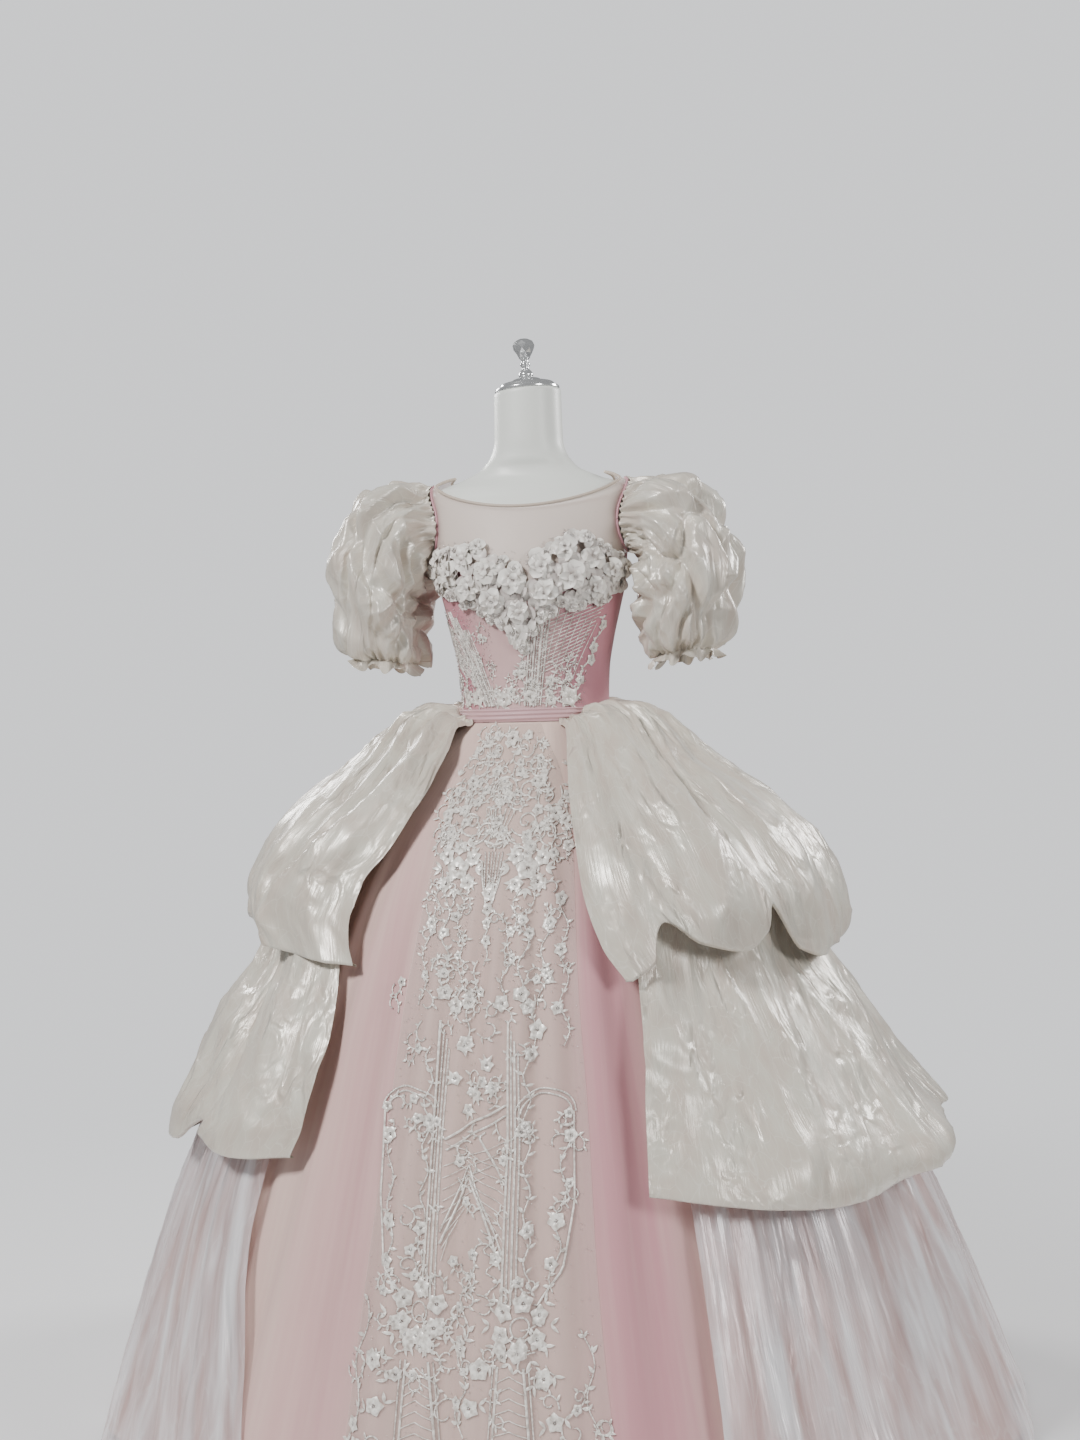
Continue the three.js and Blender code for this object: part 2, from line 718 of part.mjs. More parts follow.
function skirtLace() {
  const across = steps(0, 1, SKIRT_FRONT_COLUMNS);
  const at = (u, v) => onFacets(skirtFront, across, SKIRT_ROWS, u, v);
  const columns = split(across, 2).slice(1, -1);
  const rows = split(SKIRT_ROWS, 4).slice(1, -1);
  const open = (i, j) => {
    const barEvery = j < 12 ? 2 : 4; // the scrolls near the waist are closer than the vines below
    return i % 2 === 1 && (j + 2 * i) % barEvery !== 0;
  };
  const sheet = { at, across: columns, down: rows, lift: () => LACE_LIFT, thick: LACE_THICK, open };
  add("skirt_lace", wall(sheet), FINISH.lace);
}

function bodiceLace() {
  const [, first, last, count] = BODICE_SEAMS[2];
  const across = steps(0, 1, count);
  const panel = (u, z) => figure(between(first, last, u, FIGURE.front(z)), z);
  const at = (u, v) => onFacets(panel, across, BODICE_ROWS, u, v);
  const rows = split(BODICE_ROWS.slice(2), 3).filter((z) => z < 1200 && z > BAND_TOP_Z + 4);
  const columns = split(across, 2).slice(1, -1);
  const open = (i, j) => i % 2 === 1 && j % 2 === 1 && j < rows.length - 2;
  const sheet = { at, across: columns, down: rows, lift: () => LACE_LIFT, thick: LACE_THICK, open };
  add("bodice_lace", wall(sheet), FINISH.lace);
}

// Bust applique: overlapping fabric flowers raised from one sheet that follows the sweetheart line

const PETAL_BASE = 1.6;

function petalRise(angle, z) {
  let rise = PETAL_BASE;
  for (const flower of BUST_FLOWERS) {
    const beside = (angle / DEGREE - flower.angle) * DEGREE * FIGURE.front(z);
    const above = z - flower.z;
    const far = Math.hypot(beside, above) / flower.radius;
    const lobes = 1 + 0.18 * Math.cos(5 * Math.atan2(above, beside));
    const arch = Math.sin(Math.PI * (0.25 + (0.75 * far) / lobes)); // a hollow heart and a raised rim
    if (far < lobes) rise = Math.max(rise, PETAL_BASE + flower.rise * arch);
  }
  return rise;
}

function bustFlowers() {
  const ends = 67;
  const angleOf = (u) => lerp(-ends, ends, u);
  const at = (u, v) => {
    const angle = angleOf(u);
    const z = lerp(APPLIQUE.top(angle), APPLIQUE.bottom(angle), v);
    return figure(angle * DEGREE, z);
  };
  const seat = 1.5;
  const rise = (u, v) => {
    const point = at(u, v);
    return seat + petalRise(angleOf(u) * DEGREE, point.z);
  };
  const sheet = { at, across: steps(0, 1, 34), down: steps(0, 1, 7), lift: rise, seat };
  add("bust_flowers", wall(sheet), FINISH.petal);
}

// Tiers and overlay: organza gathered at its seam, swung out and falling in folds to a scalloped hem

const HEM_TURN = 6; // the tiers' hems roll under by this much

function tier({ rise, fall, edge, hem, side, fold, folds, sink, turnUnder }) {
  const start = rise.z(1);
  const back = 180 - 0.05;
  return (u, v) => {
    const away = side > 0 ? u : 1 - u; // 0 at the front edge, 1 at the centre back
    const drop = THREE.MathUtils.clamp(v - 1, 0, 1);
    const nominal = lerp(edge.angle(hem.z(30)), back, away);
    const low = hem.z(nominal);
    const z = v < 1 ? rise.z(v) : lerp(start, low, drop);
    const angle = lerp(edge.angle(z), back, away);
    const swing = fold * smoothstep(v, 0.2, 2);
    const wave = Math.sin(folds * Math.PI * 2 * away + 0.9 * Math.sin(5 * away) + side);
    const greatest = v < 1 ? rise.radius(v) : fall.radius(z);
    const middle = smoothstep(v, 0, 1.2) * (1 - smoothstep(v, 1.3, 1.9));
    const hug = sink * middle * (1 - smoothstep(away, 0, 0.22));
    const floor = SKIRT.radius(Math.min(z, WAIST_Z)) + SKIRT_FOLD + 4;
    const hung = lerp(greatest - swing + swing * wave, Math.min(greatest, floor + swing), hug);
    const under = Math.max(0, v - 2) * 4;
    return station(side * angle * DEGREE, hung - turnUnder * under, z + 0.4 * turnUnder * under);
  };
}

const TIERS = [
  {
    name: "upper_tier", rise: UPPER_RISE, fall: UPPER_FALL, edge: UPPER_EDGE, hem: UPPER_HEM, columns: 28,
    fold: 8, folds: 7, sink: 0.3, turnUnder: HEM_TURN, material: FINISH.organza, thick: ORGANZA,
    down: [0, 0.3, 0.6, 1, 1.18, 1.38, 1.58, 1.78, 2, 2.25],
  },
  {
    name: "lower_tier", rise: LOWER_RISE, fall: LOWER_FALL, edge: LOWER_EDGE, hem: LOWER_HEM, columns: 24,
    fold: 11, folds: 6, sink: 0.3, turnUnder: HEM_TURN, material: FINISH.organza, thick: ORGANZA,
    down: [0, 0.5, 1, 1.3, 1.55, 1.8, 2, 2.25],
  },
  {
    name: "sheer_overlay", rise: OVERLAY_RISE, fall: OVERLAY_FALL, edge: OVERLAY_EDGE, hem: FLOOR_HEM,
    columns: 24, fold: 5, folds: 6, sink: 0, turnUnder: 0, material: FINISH.sheer, thick: 1,
    down: [0, 1, 1.25, 1.5, 1.75, 2],
  },
];

function tiers() {
  for (const shape of TIERS) {
    for (const [name, side] of [["left", 1], ["right", -1]]) {
      const at = tier({ ...shape, edge: shape.edge[side], hem: shape.hem[side], side });
      const cloth = { at, across: steps(0, 1, shape.columns), down: shape.down, thick: shape.thick };
      add(shape.name + "_" + name, wall(cloth), shape.material);
    }
  }
}

dressForm();
neckCapAndFinial();
stand();
bodice();
yoke();
trims();
sleeves();
skirt();
skirtLace();
bodiceLace();
bustFlowers();
tiers();

export default gown;
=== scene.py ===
import math

import bpy
import numpy as np
from mathutils import Matrix, Vector


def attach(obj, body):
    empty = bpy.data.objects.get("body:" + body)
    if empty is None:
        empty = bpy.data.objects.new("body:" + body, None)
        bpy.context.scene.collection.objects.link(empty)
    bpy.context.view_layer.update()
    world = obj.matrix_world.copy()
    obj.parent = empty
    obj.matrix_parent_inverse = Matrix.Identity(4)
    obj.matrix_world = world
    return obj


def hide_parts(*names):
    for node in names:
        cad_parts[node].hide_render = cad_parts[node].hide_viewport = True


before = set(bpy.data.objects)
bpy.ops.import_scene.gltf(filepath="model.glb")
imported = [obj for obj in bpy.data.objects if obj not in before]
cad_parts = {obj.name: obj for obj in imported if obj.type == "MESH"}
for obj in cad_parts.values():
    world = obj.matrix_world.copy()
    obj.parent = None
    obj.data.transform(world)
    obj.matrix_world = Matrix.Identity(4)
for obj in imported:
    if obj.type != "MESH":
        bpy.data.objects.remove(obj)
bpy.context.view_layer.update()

# Viewpoint
# A standing photographer's camera, a little to the wearer's left of the front and level with the waist,
# held a degree or two off level. The photograph is 1080 by 1440 pixels.

PHOTO_HEIGHT_PX = 1440
FOCAL_PX = 1772
VIEW_DISTANCE = 2.8
VIEW_AZIMUTH = math.radians(10.5)
VIEW_HEIGHT = 1.104
VIEW_PITCH_PX = 20      # the horizon lies this far above the middle of the picture
VIEW_ASIDE_PX = 4       # the gown's axis lies this far left of the middle
VIEW_ROLL = math.radians(1.5)

eye = (VIEW_DISTANCE * math.sin(VIEW_AZIMUTH), -VIEW_DISTANCE * math.cos(VIEW_AZIMUTH), VIEW_HEIGHT)
camera_data = bpy.data.cameras.new("viewpoint")
camera_data.sensor_fit = "AUTO"
camera_data.sensor_width = 36
camera_data.lens = 36 * FOCAL_PX / PHOTO_HEIGHT_PX
camera_data.clip_end = 60
camera = bpy.data.objects.new("viewpoint", camera_data)
bpy.context.scene.collection.objects.link(camera)
camera.matrix_world = (
    Matrix.Translation(eye)
    @ Matrix.Rotation(VIEW_AZIMUTH - math.atan(VIEW_ASIDE_PX / FOCAL_PX), 4, "Z")
    @ Matrix.Rotation(math.radians(90) - math.atan(VIEW_PITCH_PX / FOCAL_PX), 4, "X")
    @ Matrix.Rotation(-VIEW_ROLL, 4, "Z")
)
bpy.context.scene.camera = camera

# Room
# A pale floor that fades into an equally pale surround, under broad soft lamps: a key from the upper
# left, a fill from the right, and a rim light on each side from behind.

FLOOR_SIZE = 16
FLOOR_COLOUR = (0.80, 0.80, 0.81, 1)
FADE_FROM, FADE_TO = 0.9, 2.6      # the floor fades out between these distances from the gown
WORLD_COLOUR = (0.80, 0.81, 0.83, 1)
WORLD_SHOWN, WORLD_LIGHT = 1.35, 0.26
LAMP_AIM = (0, 0, 0.9)
# name, place, size across, watts
LAMPS = (
    ("key", (-1.9, -2.9, 3.6), 0.8, 190),
    ("fill", (3.0, -2.2, 2.0), 1.0, 56),
    ("rim_left", (-2.4, 2.0, 2.6), 0.9, 80),
    ("rim_right", (2.5, 1.8, 2.4), 0.9, 80),
)


def plain_finish(name, colour, roughness, **sockets):
    """A Principled finish; each named socket is set on the shader itself."""
    finish = bpy.data.materials.new(name)
    finish.use_nodes = True
    shader = finish.node_tree.nodes["Principled BSDF"]
    shader.inputs["Base Color"].default_value = (*colour[:3], 1)
    shader.inputs["Roughness"].default_value = roughness
    for socket, value in sockets.items():
        shader.inputs[socket.replace("_", " ")].default_value = value
    return finish


def add_node(finish, kind, **settings):
    """A node of that kind in the finish, with its settings and unlinked inputs by name."""
    node = finish.node_tree.nodes.new(kind)
    for key, value in settings.items():
        if hasattr(node, key):
            setattr(node, key, value)
        else:
            node.inputs[key.replace("_", " ")].default_value = value
    return node


def link(finish, source, output, target, socket):
    """Joins an output of one node to a socket of another."""
    finish.node_tree.links.new(source.outputs[output], target.inputs[socket])


def link_shader(finish, source, output, *sockets):
    """Joins an output of a node to sockets of the finish's own shader."""
    for socket in sockets:
        link(finish, source, output, finish.node_tree.nodes["Principled BSDF"], socket)


floor_mesh = bpy.data.meshes.new("floor")
half_floor = FLOOR_SIZE / 2
floor_mesh.from_pydata([(x * half_floor, y * half_floor, 0) for x, y in ((-1, -1), (1, -1), (1, 1), (-1, 1))],
                       [], [(0, 1, 2, 3)])
floor_finish = plain_finish("floor_pale", FLOOR_COLOUR, 0.9)
floor_place = add_node(floor_finish, "ShaderNodeTexCoord")
floor_far = add_node(floor_finish, "ShaderNodeVectorMath", operation="LENGTH")
floor_fade = add_node(floor_finish, "ShaderNodeMapRange", interpolation_type="SMOOTHSTEP",
                      From_Min=FADE_FROM, From_Max=FADE_TO, To_Min=1, To_Max=0)
link(floor_finish, floor_place, "Object", floor_far, "Vector")
link(floor_finish, floor_far, "Value", floor_fade, "Value")
link_shader(floor_finish, floor_fade, "Result", "Alpha")
floor_mesh.materials.append(floor_finish)
floor = bpy.data.objects.new("floor", floor_mesh)
bpy.context.scene.collection.objects.link(floor)

world = bpy.data.worlds.new("studio")
world.use_nodes = True
world.node_tree.nodes["Background"].inputs["Color"].default_value = WORLD_COLOUR
ray = add_node(world, "ShaderNodeLightPath")
shown = add_node(world, "ShaderNodeMapRange", To_Min=WORLD_LIGHT, To_Max=WORLD_SHOWN)
link(world, ray, "Is Camera Ray", shown, "Value")
link(world, shown, "Result", world.node_tree.nodes["Background"], "Strength")
bpy.context.scene.world = world
for lamp_name, place, size, watts in LAMPS:
    lamp_data = bpy.data.lights.new(lamp_name, "AREA")
    lamp_data.size = size
    lamp_data.energy = watts
    lamp = bpy.data.objects.new(lamp_name, lamp_data)
    lamp.rotation_euler = (Vector(place) - Vector(LAMP_AIM)).to_track_quat("Z", "Y").to_euler()
    lamp.location = place
    bpy.context.scene.collection.objects.link(lamp)

# Dress form
# A smooth limbless torso in satin white on a general figure, with a short neck. The gown's own outside
# is the same figure, a little larger.

DEGREE = math.pi / 180
# height, half width, depth in front, depth behind
FIGURE = np.array([
    (0.930, 0.155, 0.110, 0.114), (0.965, 0.154, 0.110, 0.113), (1.005, 0.141, 0.104, 0.105),
    (1.040, 0.125, 0.096, 0.096), (1.071, 0.1185, 0.092, 0.092), (1.105, 0.1175, 0.091, 0.088),
    (1.150, 0.1195, 0.095, 0.088), (1.200, 0.128, 0.104, 0.092), (1.250, 0.140, 0.113, 0.097),
    (1.290, 0.149, 0.116, 0.100), (1.330, 0.152, 0.110, 0.100), (1.370, 0.154, 0.099, 0.099),
    (1.400, 0.157, 0.088, 0.095), (1.425, 0.161, 0.076, 0.087), (1.442, 0.158, 0.066, 0.077),
    (1.452, 0.138, 0.058, 0.067), (1.461, 0.108, 0.052, 0.059), (1.471, 0.080, 0.049, 0.054),
    (1.487, 0.062, 0.049, 0.051), (1.512, 0.0545, 0.051, 0.051), (1.590, 0.053, 0.052, 0.052)])
BUST_Z, BUST_TALL, BUST_ANGLE, BUST_SPREAD, BUST_RISE = 1.283, 0.042, 31 * DEGREE, 21 * DEGREE, 0.011
FORM_INSET = np.array([(0.93, 0.006), (1.071, 0.0028), (1.105, 0.0028), (1.25, 0.004), (1.40, 0.007),
                       (1.425, 0.009), (1.457, 0.008), (1.48, 0.0)])
NECK_TOP_Z = 1.590
NECK_TILT = 0.06


def through(table, column, at):
    """A smooth curve through the rows of a table: a cubic in each interval whose slopes are the harmonic
    mean of the slopes on either side, or 0 at a turn, so that it never overshoots."""
    keys, values = table[:, 0], table[:, column]
    rise = np.diff(values) / np.diff(keys)
    product = rise[:-1] * rise[1:]
    total = np.where(np.abs(rise[:-1] + rise[1:]) < 1e-12, 1, rise[:-1] + rise[1:])
    slope = np.concatenate([rise[:1], np.where(product > 0, 2 * product / total, 0), rise[-1:]])
    at = np.clip(at, keys[0], keys[-1])
    k = np.clip(np.searchsorted(keys, at, side="right") - 1, 0, len(keys) - 2)
    width = keys[k + 1] - keys[k]
    t = (at - keys[k]) / width
    return (values[k] + (values[k + 1] - values[k]) * (3 * t**2 - 2 * t**3)
            + t * (1 - t) ** 2 * width * slope[k] + t**2 * (t - 1) * width * slope[k + 1])


def smooth(value, start, end):
    """0 up to start, 1 from end, and an even bend between them."""
    t = np.clip((value - start) / (end - start), 0, 1)
    return t * t * (3 - 2 * t)


def figure(angle, z):
    """The gown's outside on the torso: half an ellipse in front and half behind at each height, with the
    bust as a soft rise on each side."""
    front = np.cos(angle) > 0
    aside = (np.abs(angle) - BUST_ANGLE) / BUST_SPREAD
    bust = np.where(front, BUST_RISE * np.exp(-aside**2 - ((z - BUST_Z) / BUST_TALL) ** 2), 0)
    depth = np.where(front, through(FIGURE, 2, z), through(FIGURE, 3, z)) + bust
    return np.stack([through(FIGURE, 1, z) * np.sin(angle), -depth * np.cos(angle), z + 0 * angle], -1)


def normals_of(points, closed=False):
    """Unit normals of a grid of points, from the cross product of its two directions."""
    along = np.gradient(points, axis=0)
    across = np.gradient(points, axis=1)
    if closed:
        wrapped = np.concatenate([points[:, -1:], points, points[:, :1]], 1)
        across = (wrapped[:, 2:] - wrapped[:, :-2]) / 2
    cross = np.cross(along, across)
    return cross / np.maximum(np.linalg.norm(cross, axis=-1, keepdims=True), 1e-12)


def fill(data, key, values, kind):
    """Sets one property of every item of a mesh layer."""
    data.foreach_set(key, np.ascontiguousarray(values, kind).ravel())


def new_piece(name, points, faces, finish, slot_name, loop_uv=None, marks=None):
    """A mesh object of loose points and equal-sided faces, given to the frame with its finish."""
    mesh = bpy.data.meshes.new(name)
    mesh.vertices.add(len(points))
    fill(mesh.vertices, "co", points, np.float32)
    mesh.loops.add(faces.size)
    fill(mesh.loops, "vertex_index", faces, np.int32)
    mesh.polygons.add(len(faces))
    fill(mesh.polygons, "loop_start", np.arange(0, faces.size, faces.shape[1]), np.int32)
    mesh.update(calc_edges=True)
    mesh.validate()
    fill(mesh.polygons, "use_smooth", np.ones(len(mesh.polygons)), bool)
    if loop_uv is not None:
        fill(mesh.uv_layers.new(name="cloth").data, "uv", loop_uv, np.float32)
    for mark, values in (marks or {}).items():
        fill(mesh.attributes.new(mark, "FLOAT", "POINT").data, "value", values, np.float32)
    mesh.materials.append(finish)
    piece = bpy.data.objects.new(name, mesh)
    bpy.context.scene.collection.objects.link(piece)
    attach(piece, "root")
    return piece


def new_surface(name, points, finish, slot_name, closed=False, hand=1, uv=None, marks=None):
    """Quads over a grid of points[row, column], facing out where columns run towards +X in front and rows
    run down. uv[row, column] has one more column than a closed grid."""
    rows, columns = points.shape[:2]
    j, i = np.mgrid[0:rows - 1, 0:columns if closed else columns - 1]
    i_next = (i + 1) % columns
    top, low = j * columns, (j + 1) * columns
    faces = np.stack([top + i, low + i, low + i_next, top + i_next], -1)
    loop_uv = None
    if uv is not None:
        loop_uv = np.stack([uv[j, i], uv[j + 1, i], uv[j + 1, i + 1], uv[j, i + 1]], -2)
    if hand < 0:
        faces = faces[..., ::-1]
        loop_uv = None if loop_uv is None else loop_uv[..., ::-1, :]
    return new_piece(name, points.reshape(-1, 3), faces.reshape(-1, 4), finish, slot_name, loop_uv, marks)


form_z = np.concatenate([[NECK_TOP_Z] * 2, NECK_TOP_Z - np.array([0.001, 0.004]),
                         np.linspace(1.583, 1.48, 22), np.linspace(1.476, 1.425, 36),
                         np.linspace(1.42, 0.932, 70), [0.930, 0.930]])
form_angle = np.linspace(-math.pi, math.pi, 121)[:-1]
angle_grid, z_grid = np.meshgrid(form_angle, form_z)
torso = figure(angle_grid, z_grid)
# The inset runs along the normals of an evenly spaced grid, as the rows of form_z are uneven.
EVEN_TOP, EVEN_LOW, EVEN_ROWS = 1.595, 0.92, 400
even_grid = np.meshgrid(form_angle, np.linspace(EVEN_TOP, EVEN_LOW, EVEN_ROWS))
outward = normals_of(figure(*even_grid), closed=True)
nearest = np.round((EVEN_TOP - z_grid) / (EVEN_TOP - EVEN_LOW) * (EVEN_ROWS - 1)).astype(int)
inset = np.interp(z_grid, FORM_INSET[:, 0], FORM_INSET[:, 1])
torso -= outward[np.clip(nearest, 0, EVEN_ROWS - 1), np.arange(len(form_angle))[None]] * inset[..., None]
NECK_EDGE = np.array([0.0, 0.955, 0.985, 1.0])      # how far out each of the top rows lies
torso[:4, :, :2] *= NECK_EDGE[:, None, None]
torso[-1, :, :2] *= 0
torso[-1, :, 2] = torso[-2, :, 2].mean()
TILT_FROM_Z = 1.52
torso[..., 2] += torso[..., 0] * NECK_TILT * smooth(torso[..., 2], TILT_FROM_Z, NECK_TOP_Z)
form_satin = plain_finish("form_satin_white", (0.80, 0.82, 0.77), 0.42, Coat_Weight=0.15, Coat_Roughness=0.3)
form = new_surface("dress_form", torso, form_satin, "form_satin", closed=True)
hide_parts("form_torso")

# Neck cap and finial
# A stepped silver cap closes the neck, with a turned knob screwed into it. The knob's head is cut in
# facets.

CAP_Z = NECK_TOP_Z + 0.0004
KNOB_FOOT, KNOB_TALL = 0.0203, 0.0830
# radius and height of the corners of each profile
CAP = [(0, 0), (0.0505, 0), (0.051, 0.0005), (0.051, 0.005), (0.046, 0.0065), (0.044, 0.0072),
       (0.0425, 0.012), (0.030, 0.0145), (0.025, 0.0155), (0.021, 0.0195), (0.012, 0.020), (0, 0.020)]
STEM = [(0, 0), (0.009, 0), (0.012, 0.006), (0.009, 0.012), (0.0055, 0.015), (0.0055, 0.019), (0.008, 0.021),
        (0.008, 0.024), (0.0055, 0.026), (0.0055, 0.030), (0.009, 0.033)]
HEAD_RINGS = np.array([(0.0085, 0.0330), (0.0125, 0.0400), (0.0165, 0.0470), (0.0178, 0.0530),
                       (0.0145, 0.0590), (0.0075, 0.0625)])
HEAD_CORNERS = 8
silver = plain_finish("polished_silver", (0.86, 0.87, 0.87), 0.17, Metallic=0.85, Coat_Weight=0.4,
                      Coat_Roughness=0.05)


def leaned(x, y, height):
    """Points above the foot of the cap, leaned with the neck by the slope NECK_TILT towards -X."""
    lean = math.atan(NECK_TILT)
    return np.stack([x * math.cos(lean) - height * math.sin(lean), y,
                     CAP_Z + x * math.sin(lean) + height * math.cos(lean)], -1)


def turned(corners, segments, foot=0.0):
    """A profile carried round the axis: its corners are eased by two cuts each, twice over."""
    line = np.array(corners, float)
    for _ in range(2):
        near, far = line[:-1] * 0.8 + line[1:] * 0.2, line[:-1] * 0.2 + line[1:] * 0.8
        line = np.concatenate([line[:1], np.stack([near, far], 1).reshape(-1, 2), line[-1:]])
    angle = np.linspace(-math.pi, math.pi, segments + 1)[:-1]
    radius, height = line[::-1, :1], line[::-1, 1:] + foot
    return leaned(radius * np.sin(angle), -radius * np.cos(angle), height + 0 * angle)


cap = new_surface("neck_cap", turned(CAP, 72), silver, "silver", closed=True)
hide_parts("form_neck_cap")
# The head's rings have eight corners, each ring half a facet on from the one below, so its sides are
# flat triangles.
ring_number = np.arange(len(HEAD_RINGS))[:, None]
corner_angle = (np.arange(HEAD_CORNERS)[None] + 0.5 * ring_number) * 2 * math.pi / HEAD_CORNERS
head_radius, head_height = HEAD_RINGS[:, :1], HEAD_RINGS[:, 1:] + KNOB_FOOT
head_points = leaned(head_radius * np.sin(corner_angle), -head_radius * np.cos(corner_angle), head_height)
head_points = np.concatenate([head_points.reshape(-1, 3), leaned(0.0, 0.0, KNOB_TALL)[None]])
j, i = np.mgrid[0:len(HEAD_RINGS) - 1, 0:HEAD_CORNERS]
low, low_next = j * HEAD_CORNERS + i, j * HEAD_CORNERS + (i + 1) % HEAD_CORNERS
high, high_next = low + HEAD_CORNERS, low_next + HEAD_CORNERS
top_ring = (len(HEAD_RINGS) - 1) * HEAD_CORNERS + np.arange(HEAD_CORNERS)
crown = np.stack([top_ring, np.roll(top_ring, -1), np.full(HEAD_CORNERS, len(head_points) - 1)], -1)
facets = ((low, low_next, high), (low_next, high_next, high))
head_faces = [np.stack(corners, -1).reshape(-1, 3) for corners in facets]
head = new_piece("finial_head", head_points, np.concatenate(head_faces + [crown]), silver, "silver")
fill(head.data.polygons, "use_smooth", np.zeros(len(head.data.polygons)), bool)
knob = new_surface("finial_stem", turned(STEM, 40, KNOB_FOOT), silver, "silver", closed=True)
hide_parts("form_finial")

# Stand
# A white enamelled pole on a flat round base, hidden under the skirt.

stand_white = plain_finish("stand_enamel", (0.80, 0.80, 0.78), 0.35, Coat_Weight=0.3)
for stand_node in ("stand_base", "stand_pole"):
    node_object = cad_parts[stand_node]
    node_object.data.materials.clear()
    node_object.data.materials.append(stand_white)

# Skirt
# Seven gored panels of tulle over a lining, cream in front and shaded pink on either side of the lace.
# They hang in soft upright folds that widen to the hem, and the whole skirt settles back a little.

WAIST_Z = 1.071
HEM_Z = 0.008
# height, radius
SKIRT = np.array([
    (0.008, 0.703), (0.1, 0.666), (0.2, 0.626), (0.3, 0.586), (0.4, 0.546), (0.5, 0.504), (0.6, 0.462),
    (0.7, 0.418), (0.8, 0.370), (0.85, 0.340), (0.9, 0.304), (0.95, 0.260), (1.0, 0.210), (1.04, 0.163),
    (1.071, 0.118)])
# height, half width of the front panel
FRONT_PANEL = np.array([(0.008, 0.182), (0.4, 0.140), (0.7, 0.114), (0.9, 0.100), (1.0, 0.090),
                        (1.071, 0.074)])
SWEEP_X, SWEEP_Y = 0.010, 0.050
WAIST_DEPTH = 0.78
ROUND_FROM, ROUND_AT = 0.118, 0.300
SKIRT_FOLD, SKIRT_FOLDS = 0.009, 20
SKIRT_GATHER, SKIRT_GATHERS = 0.0048, 53
SIDE_FRONT_SEAM, SIDE_SEAM = 48 * DEGREE, 112 * DEGREE


def station(angle, radius, z):
    """A place on a skirt layer: sections are oval at the waist, round below, and sweep back."""
    depth = WAIST_DEPTH + (1 - WAIST_DEPTH) * smooth(radius, ROUND_FROM, ROUND_AT)
    reach = radius / np.hypot(np.sin(angle), np.cos(angle) / depth)
    drop = np.maximum(0, (WAIST_Z - z) / WAIST_Z) ** 1.5
    return np.stack([reach * np.sin(angle) + SWEEP_X * drop, -reach * np.cos(angle) + SWEEP_Y * drop,
                     z + 0 * angle], -1)


def skirt_radius(angle, z):
    """The skirt's radius: its profile, a broad fold every 18 degrees, and finer soft folds of the tulle
    that start below the hip."""
    drop = (WAIST_Z - z) / WAIST_Z
    broad = SKIRT_FOLD * drop * np.sin(SKIRT_FOLDS * angle + 0.8 * np.sin(3 * angle))
    gather_wave = np.sin(SKIRT_GATHERS * angle + 2.1 * np.sin(7 * angle) + 3 * drop)
    return through(SKIRT, 1, z) + broad + SKIRT_GATHER * smooth(drop, 0.05, 0.4) * gather_wave


def front_seam(z):
    """Angle of the front panel's seams at a height."""
    return through(FRONT_PANEL, 1, z) / through(SKIRT, 1, z)


def blush_at(angle, z):
    """How pink the tulle is: a band on each side of the lace that fades outwards, stronger on the
    wearer's left and lower down, over an even blush."""
    side = np.degrees(np.abs(angle))
    left = angle > 0
    seam = np.degrees(front_seam(z))
    band = np.exp(-(((side - seam - 5) / np.where(side > seam + 5, 9, 6)) ** 2))
    depth = smooth(1.06 - z, 0.0, 0.35)
    return np.clip(0.10 + 0.14 * depth + band * np.where(left, 0.85, 0.45) * (0.40 + 0.60 * depth), 0, 1)


def ramp_on(finish, source, output, low, high, low_at=0.0, high_at=1.0):
    """A ramp from one colour to another along an output of the source."""
    ramp = add_node(finish, "ShaderNodeValToRGB")
    first, last = ramp.color_ramp.elements
    first.position, last.position = low_at, high_at
    first.color, last.color = (*low, 1), (*high, 1)
    link(finish, source, output, ramp, "Fac")
    return ramp


def bump_on(finish, source, output, strength, distance):
    """Bump on the finish's shader from an output of the source."""
    relief = add_node(finish, "ShaderNodeBump", Strength=strength, Distance=distance)
    link(finish, source, output, relief, "Height")
    link_shader(finish, relief, "Normal", "Normal")
    return relief


def net_on(finish, scale, strength, distance):
    """Fine net as bump: threads along the edges of small cells. Returns the cloth's own coordinates."""
    cloth = add_node(finish, "ShaderNodeUVMap", uv_map="cloth")
    net = add_node(finish, "ShaderNodeTexVoronoi", feature="DISTANCE_TO_EDGE", Scale=scale)
    link(finish, cloth, "UV", net, "Vector")
    bump_on(finish, net, "Distance", strength, distance)
    return cloth


def shaded_tulle(name, pale, pink, net_scale):
    """Tulle whose colour runs from pale to pink by the cloth's own blush and by upright streaks, partly painted
    fold shade, with a fine net and a dry sheen.
    """
    finish = plain_finish(name, pale, 0.75, Sheen_Weight=0.25, Sheen_Roughness=0.4)
    cloth = net_on(finish, net_scale, 0.12, 0.0006)
    blush = add_node(finish, "ShaderNodeAttribute", attribute_name="blush")
    # Upright streaks of deeper pink: partly the denser colour where the tulle gathers, partly painted shade of
    # its folds.
    drawn_out = add_node(finish, "ShaderNodeMapping", Scale=(9.0, 0.5, 1.0))
    fold_shade_streaks = add_node(finish, "ShaderNodeTexNoise", Scale=8.0, Detail=4.0)
    link(finish, cloth, "UV", drawn_out, "Vector")
    link(finish, drawn_out, "Vector", fold_shade_streaks, "Vector")
    shift = add_node(finish, "ShaderNodeMath", operation="MULTIPLY_ADD")
    shift.inputs[1].default_value = 0.44
    shift.inputs[2].default_value = -0.22
    link(finish, fold_shade_streaks, "Fac", shift, 0)
    total = add_node(finish, "ShaderNodeMath", operation="ADD")
    link(finish, blush, "Fac", total, 0)
    link(finish, shift, 0, total, 1)
    link_shader(finish, ramp_on(finish, total, 0, pale, pink), "Color", "Base Color")
    return finish


